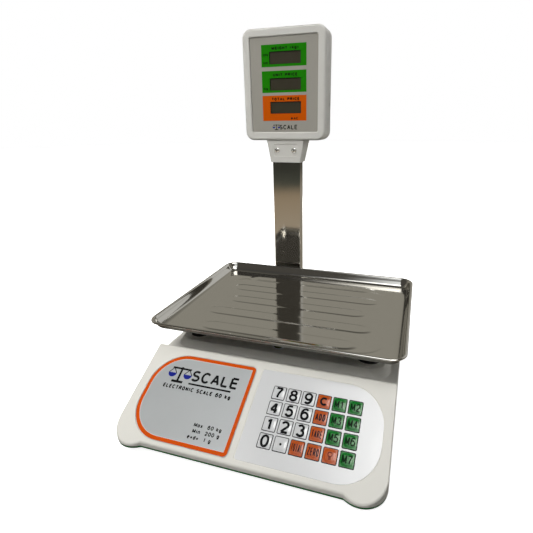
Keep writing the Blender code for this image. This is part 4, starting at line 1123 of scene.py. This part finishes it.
def lcd_outline(z, grow=0.0):
    return rounded_about(LCD_X, z, LCD_HALF_WIDTH, LCD_HALF_HEIGHT, 0.0004, 2, grow)


def make_display(side, overlay, unit):
    """The printed panel with its coloured fields, and the dark glasses behind their windows."""
    low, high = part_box(overlay)
    at = facing(POLE_X, low[1] if side < 0 else high[1], 0, side)
    half = (high[0] - low[0]) / 2
    sheet = prism("display_sheet", rounded((-half, half), (low[2], high[2]), 0.0022, 6), -PRINT_SHEET, 0, at)
    fields = ((0.3745, 0.4135, "amber_ink"), (0.4180, 0.4504, "green_ink"), (0.4563, 0.4885, "green_ink"))
    left, right = -0.0945 - POLE_X, -0.0192 - POLE_X
    pieces = []
    for (bottom, top, ink_name), z in reversed(list(zip(fields, LCD_HEIGHTS))):
        field = prism("field", rounded((left, right), (bottom, top), 0.0003, 2), -0.0002, 0.00004, at)
        for target in (field, sheet):
            cut(target, prism("hole", lcd_outline(z), -FAR, FAR, at))
        paint_over(field, ink_name, 20)
        # A black band round the inside of each window: painted shade for the window's depth.
        shade_frames = [lcd_outline(z, grow) for grow in (-0.00002, -0.0008)]
        pieces += [field, band("frame", *shade_frames, -0.0006, 0.00001, at, "black_ink")]
    tag = "front" if side < 0 else "rear"
    finish(sheet, tag + "_display_sheet", "display_panel", 20, "display_grey", overlay)
    colour = join(tag + "_display_fields", pieces)
    raised = at @ shift((0, 0, 0.00004))
    words = lettering(
        tag + "_display_words",
        (
            ("WEIGHT (kg)", LCD_X, 0.4804, 0.0047, 0.88, 0.00140, 0.5),
            ("UNIT PRICE", LCD_X, 0.4420, 0.0047, 0.88, 0.00140, 0.5),
            ("TOTAL PRICE", LCD_X, 0.4058, 0.0047, 0.88, 0.00140, 0.5),
            ("ZERO", left + 0.0068, 0.4720, 0.0034, 0.45, 0.00085, 0.5),
            ("TARE", left + 0.0068, 0.4606, 0.0034, 0.45, 0.00085, 0.5),
            ("kg", left + 0.0066, 0.4224, 0.0037, 0.95, 0.00115, 0.5),
            ("AC", right - 0.0179, 0.3762, 0.0040, 0.90, 0.00105, 0.5),
        ),
        raised,
        "dark_ink",
    )
    disc = circle(0.0017, 24, (right - 0.0248, 0.3782))
    dot = prism(tag + "_display_dot", disc, 0, 0.00003, raised, ("black_ink",))
    line = (("SCALE", LCD_X + 0.0045, 0.3608, 0.0074, 0.90, 0.00150, 0.5),)
    small = lettering(tag + "_display_line", line, at, "black_ink")
    mark_at = at @ shift((LCD_X - 0.0165, 0.3648, 0))
    mark = make_balance_mark(tag + "_display_mark", mark_at, 0.0125)
    for piece in (colour, words, dot, small, mark):
        place(piece, "base", "display_grey")
    wear_cad(unit, "lcd_glass", 0.0002)


def make_neck_screws():
    """Pan-head screws with a cross slot, each with a black sheet at its floor as painted shade."""
    profile = (
        (0.0016, -0.0095), (0.0017, -0.0010), (0.0043, -0.0006), (0.0045, 0.0002), (0.0042, 0.0010),
        (0.0034, 0.0016), (0.0022, 0.0020), (0.0008, 0.0021),
    )
    for name, side in (("neck_screw_left", -1), ("neck_screw_right", 1)):
        at = facing(POLE_X + side * SCREW_X, HEAD_MID_Y - FRONT_NECK, SCREW_Z, -1)
        screw = turned(name + "_detail", profile, at, 32)
        slot_shades = []
        for turn in (25, 115):
            slot_at = at @ Matrix.Rotation(math.radians(turn + 20 * side), 4, "Z")
            cut(screw, prism("slot", rectangle(-0.0021, -0.00042, 0.0021, 0.00042), 0.0006, FAR, slot_at))
            # A black sheet at the slot's floor: painted shade where the steel floor lies in shadow.
            floor = rectangle(-0.0020, -0.00038, 0.0020, 0.00038)
            slot_shades.append(prism("slot", floor, 0.0004, 0.0008, slot_at, ("black_plastic",)))
        paint_over(screw, "screw_steel", 35)
        place(join(name + "_detail", [screw, *slot_shades]), "base", "screw_steel", name)


# ---- small pieces


def wear_cad(name, paint, width):
    """Keeps a CAD node's own shape, with its material and slightly rounded edges."""
    obj = NODES[name]
    paint_over(obj, paint)
    if width:
        flat = obj.modifiers.new("flats", "DECIMATE")
        flat.decimate_type = "DISSOLVE"
        flat.angle_limit = math.radians(1)
        add_bevel(obj, width, 2, "ANGLE").angle_limit = math.radians(25)
        add_flat_normals(obj)


def make_level():
    """A round bubble level: a white cup with a rim, green liquid under a low dome, and a ring."""
    at = over("bubble_level", DECK_Z)
    cup = (
        (0.0070, -0.0080), (0.0078, -0.0070), (0.0078, 0.0003), (0.0088, 0.0003), (0.0088, 0.0009),
        (0.0083, 0.0014), (0.0071, 0.0016), (0.0067, 0.0013), (0.0066, 0.0002),
    )
    body = turned("level_body", cup, at, paints=("white_ink",))
    place(body, "base", "level_vial", "bubble_level")
    dome = [(0.0066, -0.0006), *bow(0, 0.0004, 0.0066, 0.0009, 0, 75, 5), (0.0003, 0.0013)]
    glass = turned("level_glass", dome, at, paints=("level_liquid",), smooth=60)
    ring = band("level_ring", circle(0.0029, 48), circle(0.0026, 48), 0.0010, 0.00134, at, "black_ink")
    for piece in (glass, ring):
        place(piece, "base", "level_vial")


def make_inlet():
    """A flanged three-pin mains socket with its upper corners cut off."""
    low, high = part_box("mains_inlet")
    x, _, z = middle_of("mains_inlet")
    at = facing(x, REAR_Y, z, 1)
    half_x, half_z = (high[0] - low[0]) / 2, (high[2] - low[2]) / 2
    body = prism("inlet", rounded_about(0, 0, 0.0137, 0.0099, 0.001, 3), -0.020, 0.001, at)
    flange = prism("flange", rounded_about(0, 0, half_x, half_z, 0.0022, 6), GAP, high[1] - REAR_Y, at)
    face_y = high[1] - 0.0002
    weighted_bevel(flange, 0.0006, lambda middle, turn: 1.0 if middle.y > face_y and turn > 30 else 0.0, 3)
    fuse(body, flange)
    half, slant, foot, shoulder, top = 0.0122, 0.0078, -0.0084, 0.0034, 0.0084
    socket = ((-half, foot), (half, foot), (half, shoulder), (slant, top), (-slant, top), (-half, shoulder))
    cut(body, prism("socket", socket, -0.013, FAR, at))
    paint_over(body, "black_plastic", 30)
    pins = []
    for x, y in ((-0.007, -0.002), (0, 0.002), (0.007, -0.002)):
        outline = rounded_about(x, y, 0.001, 0.002, 0.0003, 2)
        pins.append(prism("pin", outline, -0.0133, -0.0035, at, ("pin_brass",)))
    place(join("inlet_detail", [body, *pins]), "base", "black_plastic", "mains_inlet")


def make_plain_pieces():
    for name, paint, width in (
        ("battery", "battery_case", 0.0006),
        ("main_board", "circuit_board", 0.0),
        ("keypad_board", "circuit_board", 0.0002),
        ("load_cell", "machined_aluminium", 0.0004),
        ("load_cell_mount", "plated_steel", 0.0004),
        ("transformer", "iron_core", 0.0004),
        ("pole_bracket", "plated_steel", 0.0004),
        ("pan_support", "cast_aluminium", 0.0006),
        ("power_switch_frame", "black_plastic", 0.0004),
        ("power_switch_rocker", "black_plastic", 0.0004),
        ("display_cable", "cable_jacket", 0.0),
    ):
        wear_cad(name, paint, width)


# ---- studio


SKY_LOW, SKY_LEFT, SKY_RIGHT = (0.038, 0.038, 0.035, 1), (4.35, 4.35, 4.31, 1), (0.58, 0.58, 0.585, 1)
CORNER_LIGHT, WINDOW_LIGHT, CEILING_LIGHT = (0.66, 0.66, 0.64, 1), (1.50, 1.55, 1.58, 1), (4.2, 4.2, 4.15, 1)
DARK_SPOT, CORNER = Vector((-0.12, -0.475, 0.87)), Vector((0.50, 0.74, 0.45))

# The room that polished pieces reflect, from below (-1) to above (1), behind the object and before it
ROOM_BEHIND = (
    (-1.0, (0.12, 0.11, 0.09)), (-0.30, (0.30, 0.27, 0.22)), (-0.16, (0.38, 0.34, 0.28)),
    (-0.10, (0.10, 0.095, 0.08)), (0.08, (0.10, 0.095, 0.08)), (0.20, (0.33, 0.315, 0.27)),
    (0.55, (0.37, 0.355, 0.31)), (0.78, (0.11, 0.105, 0.09)), (1.0, (0.07, 0.068, 0.065)),
)
ROOM_BEFORE = (
    (-1.0, (0.12, 0.10, 0.08)), (-0.30, (0.50, 0.44, 0.35)), (-0.165, (0.40, 0.31, 0.21)),
    (-0.145, (0.075, 0.085, 0.070)), (-0.10, (0.045, 0.046, 0.038)), (0.25, (0.09, 0.085, 0.075)),
    (0.70, (0.085, 0.08, 0.07)), (1.0, (0.07, 0.068, 0.065)),
)


def make_world():
    """A pale backdrop to the eye, an even sky for plain surfaces, and a room for polished ones to reflect."""
    world = bpy.data.worlds.new("studio")
    bpy.context.scene.world = world
    world.use_nodes = True
    tree = world.node_tree
    tree.nodes.remove(tree.nodes["Background"])
    direction = node(tree, "ShaderNodeTexCoord", {}).outputs["Generated"]
    split = node(tree, "ShaderNodeSeparateXYZ", {"Vector": direction})
    x, y, z = (split.outputs[axis] for axis in "XYZ")
    height = node(tree, "ShaderNodeMapRange", {"Value": z, "From Min": -1.0}).outputs["Result"]

    def spread(source, low, high):
        """Goes smoothly from 0 at low to 1 at high, either of which may be the larger."""
        ends = {"From Min": low, "From Max": high}
        if low > high:
            ends = {"From Min": high, "From Max": low, "To Min": 1.0, "To Max": 0.0}
        step = node(tree, "ShaderNodeMapRange", {"Value": source, **ends}, interpolation_type="SMOOTHSTEP")
        return step.outputs["Result"]

    def near(aim):
        """How closely a ray points along aim, as a cosine."""
        aims = {0: direction, 1: aim.normalized()}
        return node(tree, "ShaderNodeVectorMath", aims, operation="DOT_PRODUCT").outputs["Value"]

    def product(first, *others):
        for other in others:
            first = node(tree, "ShaderNodeMath", {0: first, 1: other}, operation="MULTIPLY").outputs["Value"]
        return first

    def ramp(stops):
        made = node(tree, "ShaderNodeValToRGB", {"Fac": height})
        bar = made.color_ramp
        while len(bar.elements) < len(stops):
            bar.elements.new(0.5)
        for element, (level, colour) in zip(bar.elements, stops):
            element.position = (level + 1) / 2
            element.color = (*colour, 1)
        return made.outputs["Color"]

    def blend(factor, first, second):
        inputs = {"Fac": factor, "Color1": first, "Color2": second}
        return node(tree, "ShaderNodeMixRGB", inputs).outputs["Color"]

    def glow(colour):
        return node(tree, "ShaderNodeBackground", {"Color": colour}).outputs["Background"]

    def either(switch, first, second):
        return node(tree, "ShaderNodeMixShader", {0: switch, 1: first, 2: second}).outputs["Shader"]

    room = blend(spread(y, -0.15, 0.15), ramp(ROOM_BEFORE), ramp(ROOM_BEHIND))
    room = blend(spread(near(CORNER), 0.90, 0.955), room, CORNER_LIGHT)
    window = product(spread(x, -0.18, -0.02), spread(x, 0.70, 0.30), spread(z, 0.42, 0.62))
    room = blend(product(window, spread(y, -0.05, -0.30)), room, WINDOW_LIGHT)
    ceiling = product(spread(x, -0.28, 0.02), spread(z, 0.92, 0.97), spread(y, 0.10, -0.12))
    room = blend(ceiling, room, CEILING_LIGHT)
    even = blend(spread(x, -0.45, 0.45), SKY_LEFT, SKY_RIGHT)
    even = blend(spread(near(DARK_SPOT), 0.900, 0.990), SKY_LOW, even)
    path = node(tree, "ShaderNodeLightPath", {}).outputs
    surface = either(path["Is Diffuse Ray"], glow(room), glow(even))
    surface = either(path["Is Camera Ray"], surface, glow((1, 1, 1, 1)))
    fill(tree, tree.nodes["World Output"], {"Surface": surface})


def area(name, position, target, size, power, colour, size_y=None, beam=180):
    """A square or oblong lamp that plain surfaces see and polished ones don't."""
    lamp_data = bpy.data.lights.new(name, "AREA")
    lamp_data.energy = power
    lamp_data.color = colour
    lamp_data.shape = "RECTANGLE"
    lamp_data.size = size
    lamp_data.size_y = size_y or size
    lamp_data.spread = math.radians(beam)
    obj = bpy.data.objects.new(name, lamp_data)
    COLLECTION.objects.link(obj)
    obj.location = position
    obj.rotation_euler = (Vector(target) - Vector(position)).to_track_quat("-Z", "Y").to_euler()
    obj.visible_glossy = False
    return obj


def make_studio():
    make_world()
    warm = (1.0, 0.98, 0.94)
    shine = area("ceiling_lamp", (0.50, -0.32, 1.17), (0.08, -0.14, 0.05), 0.42, 4.6, warm, size_y=0.55)
    shine.visible_glossy = True
    shine.visible_diffuse = False
    area("key_left", (-0.38, -0.46, 0.86), (-0.12, -0.14, 0.05), 0.22, 4.4, (1.0, 0.995, 0.96))
    area("head_front", (-0.50, -1.00, 0.75), (-0.03, 0.0, 0.43), 0.35, 0.115, (1.0, 0.99, 0.96), beam=30)
    area("head_side", (1.0, 0.20, 0.70), (0, 0, 0.42), 0.35, 0.22, (1.0, 0.99, 0.96), beam=36)
    area("back_fill", (-0.50, 1.38, 0.60), (0, 0.1, 0.2), 0.9, 12.5, (1.0, 0.995, 0.97))
    area("right_fill", (1.40, 0.75, 0.45), (0, 0.05, 0.15), 0.6, 4.0, (1.0, 0.995, 0.97))
    wide = circle(8.0, 120)
    floor = prism("floor", wide, -0.02, -0.0002)
    floor.data.materials.append(floor_paint())
    floor.visible_diffuse = False
    floor.visible_shadow = False
    ground = prism("ground", wide, -0.04, -0.0004)
    dark = material("dark_ground", (0.05, 0.048, 0.042), 0.8, vary=0.02, vary_scale=3, grain=60)
    ground.data.materials.append(dark)
    ground.visible_camera = False
    for surface in (floor, ground):
        surface.visible_glossy = False


def floor_paint():
    """A pale floor that glows a little, so that it reads as white."""
    paint = material("pale_floor", (0.86, 0.86, 0.86), 0.8, vary=0.01, vary_scale=3, grain=60,
                     grain_depth=0.0001)
    glow = {"Emission Color": (1, 1, 1, 1), "Emission Strength": 0.88}
    fill(paint.node_tree, paint.node_tree.nodes["Principled BSDF"], glow)
    return paint


def make_camera():
    """The photograph's viewing angle, with its lens and the middle of its view."""
    yaw, pitch, roll = 0.3016, 0.3288, -0.0082
    back = Vector((math.sin(yaw) * math.cos(pitch), -math.cos(yaw) * math.cos(pitch), math.sin(pitch)))
    right = (-back).cross(Vector((0, 0, 1))).normalized()
    up = right.cross(-back)
    across = math.cos(roll) * right + math.sin(roll) * up
    rise = -math.sin(roll) * right + math.cos(roll) * up
    lens = bpy.data.cameras.new("camera")
    lens.sensor_width = 36
    lens.lens = 26.736065
    lens.shift_x, lens.shift_y = -0.0534184, -0.0140405
    lens.clip_start = 0.01
    obj = bpy.data.objects.new("camera", lens)
    COLLECTION.objects.link(obj)
    turn = Matrix((across, rise, back)).transposed().to_4x4()
    obj.matrix_world = shift((0.1644, -0.4957, 0.3694)) @ turn
    bpy.context.scene.camera = obj


make_camera()
make_housing()
make_tray()
make_battery_door()
make_feet()
make_label()
make_overlay()
for key_name in KEY_NAMES:
    make_key(key_name)
make_pan()
make_cushions()
make_pole()
make_head_shell("display_front_shell", "head_front", -1, FRONT_NECK, FRONT_NECK, "front_display_overlay")
make_head_shell("display_rear_shell", "head_rear", 1, REAR_NECK_BOTTOM, REAR_NECK_TOP, "rear_display_overlay")
make_display(-1, "front_display_overlay", "front_lcd_unit")
make_display(1, "rear_display_overlay", "rear_lcd_unit")
make_neck_screws()
make_level()
make_inlet()
make_plain_pieces()
make_studio()

bpy.context.scene.view_settings.view_transform = "Standard"
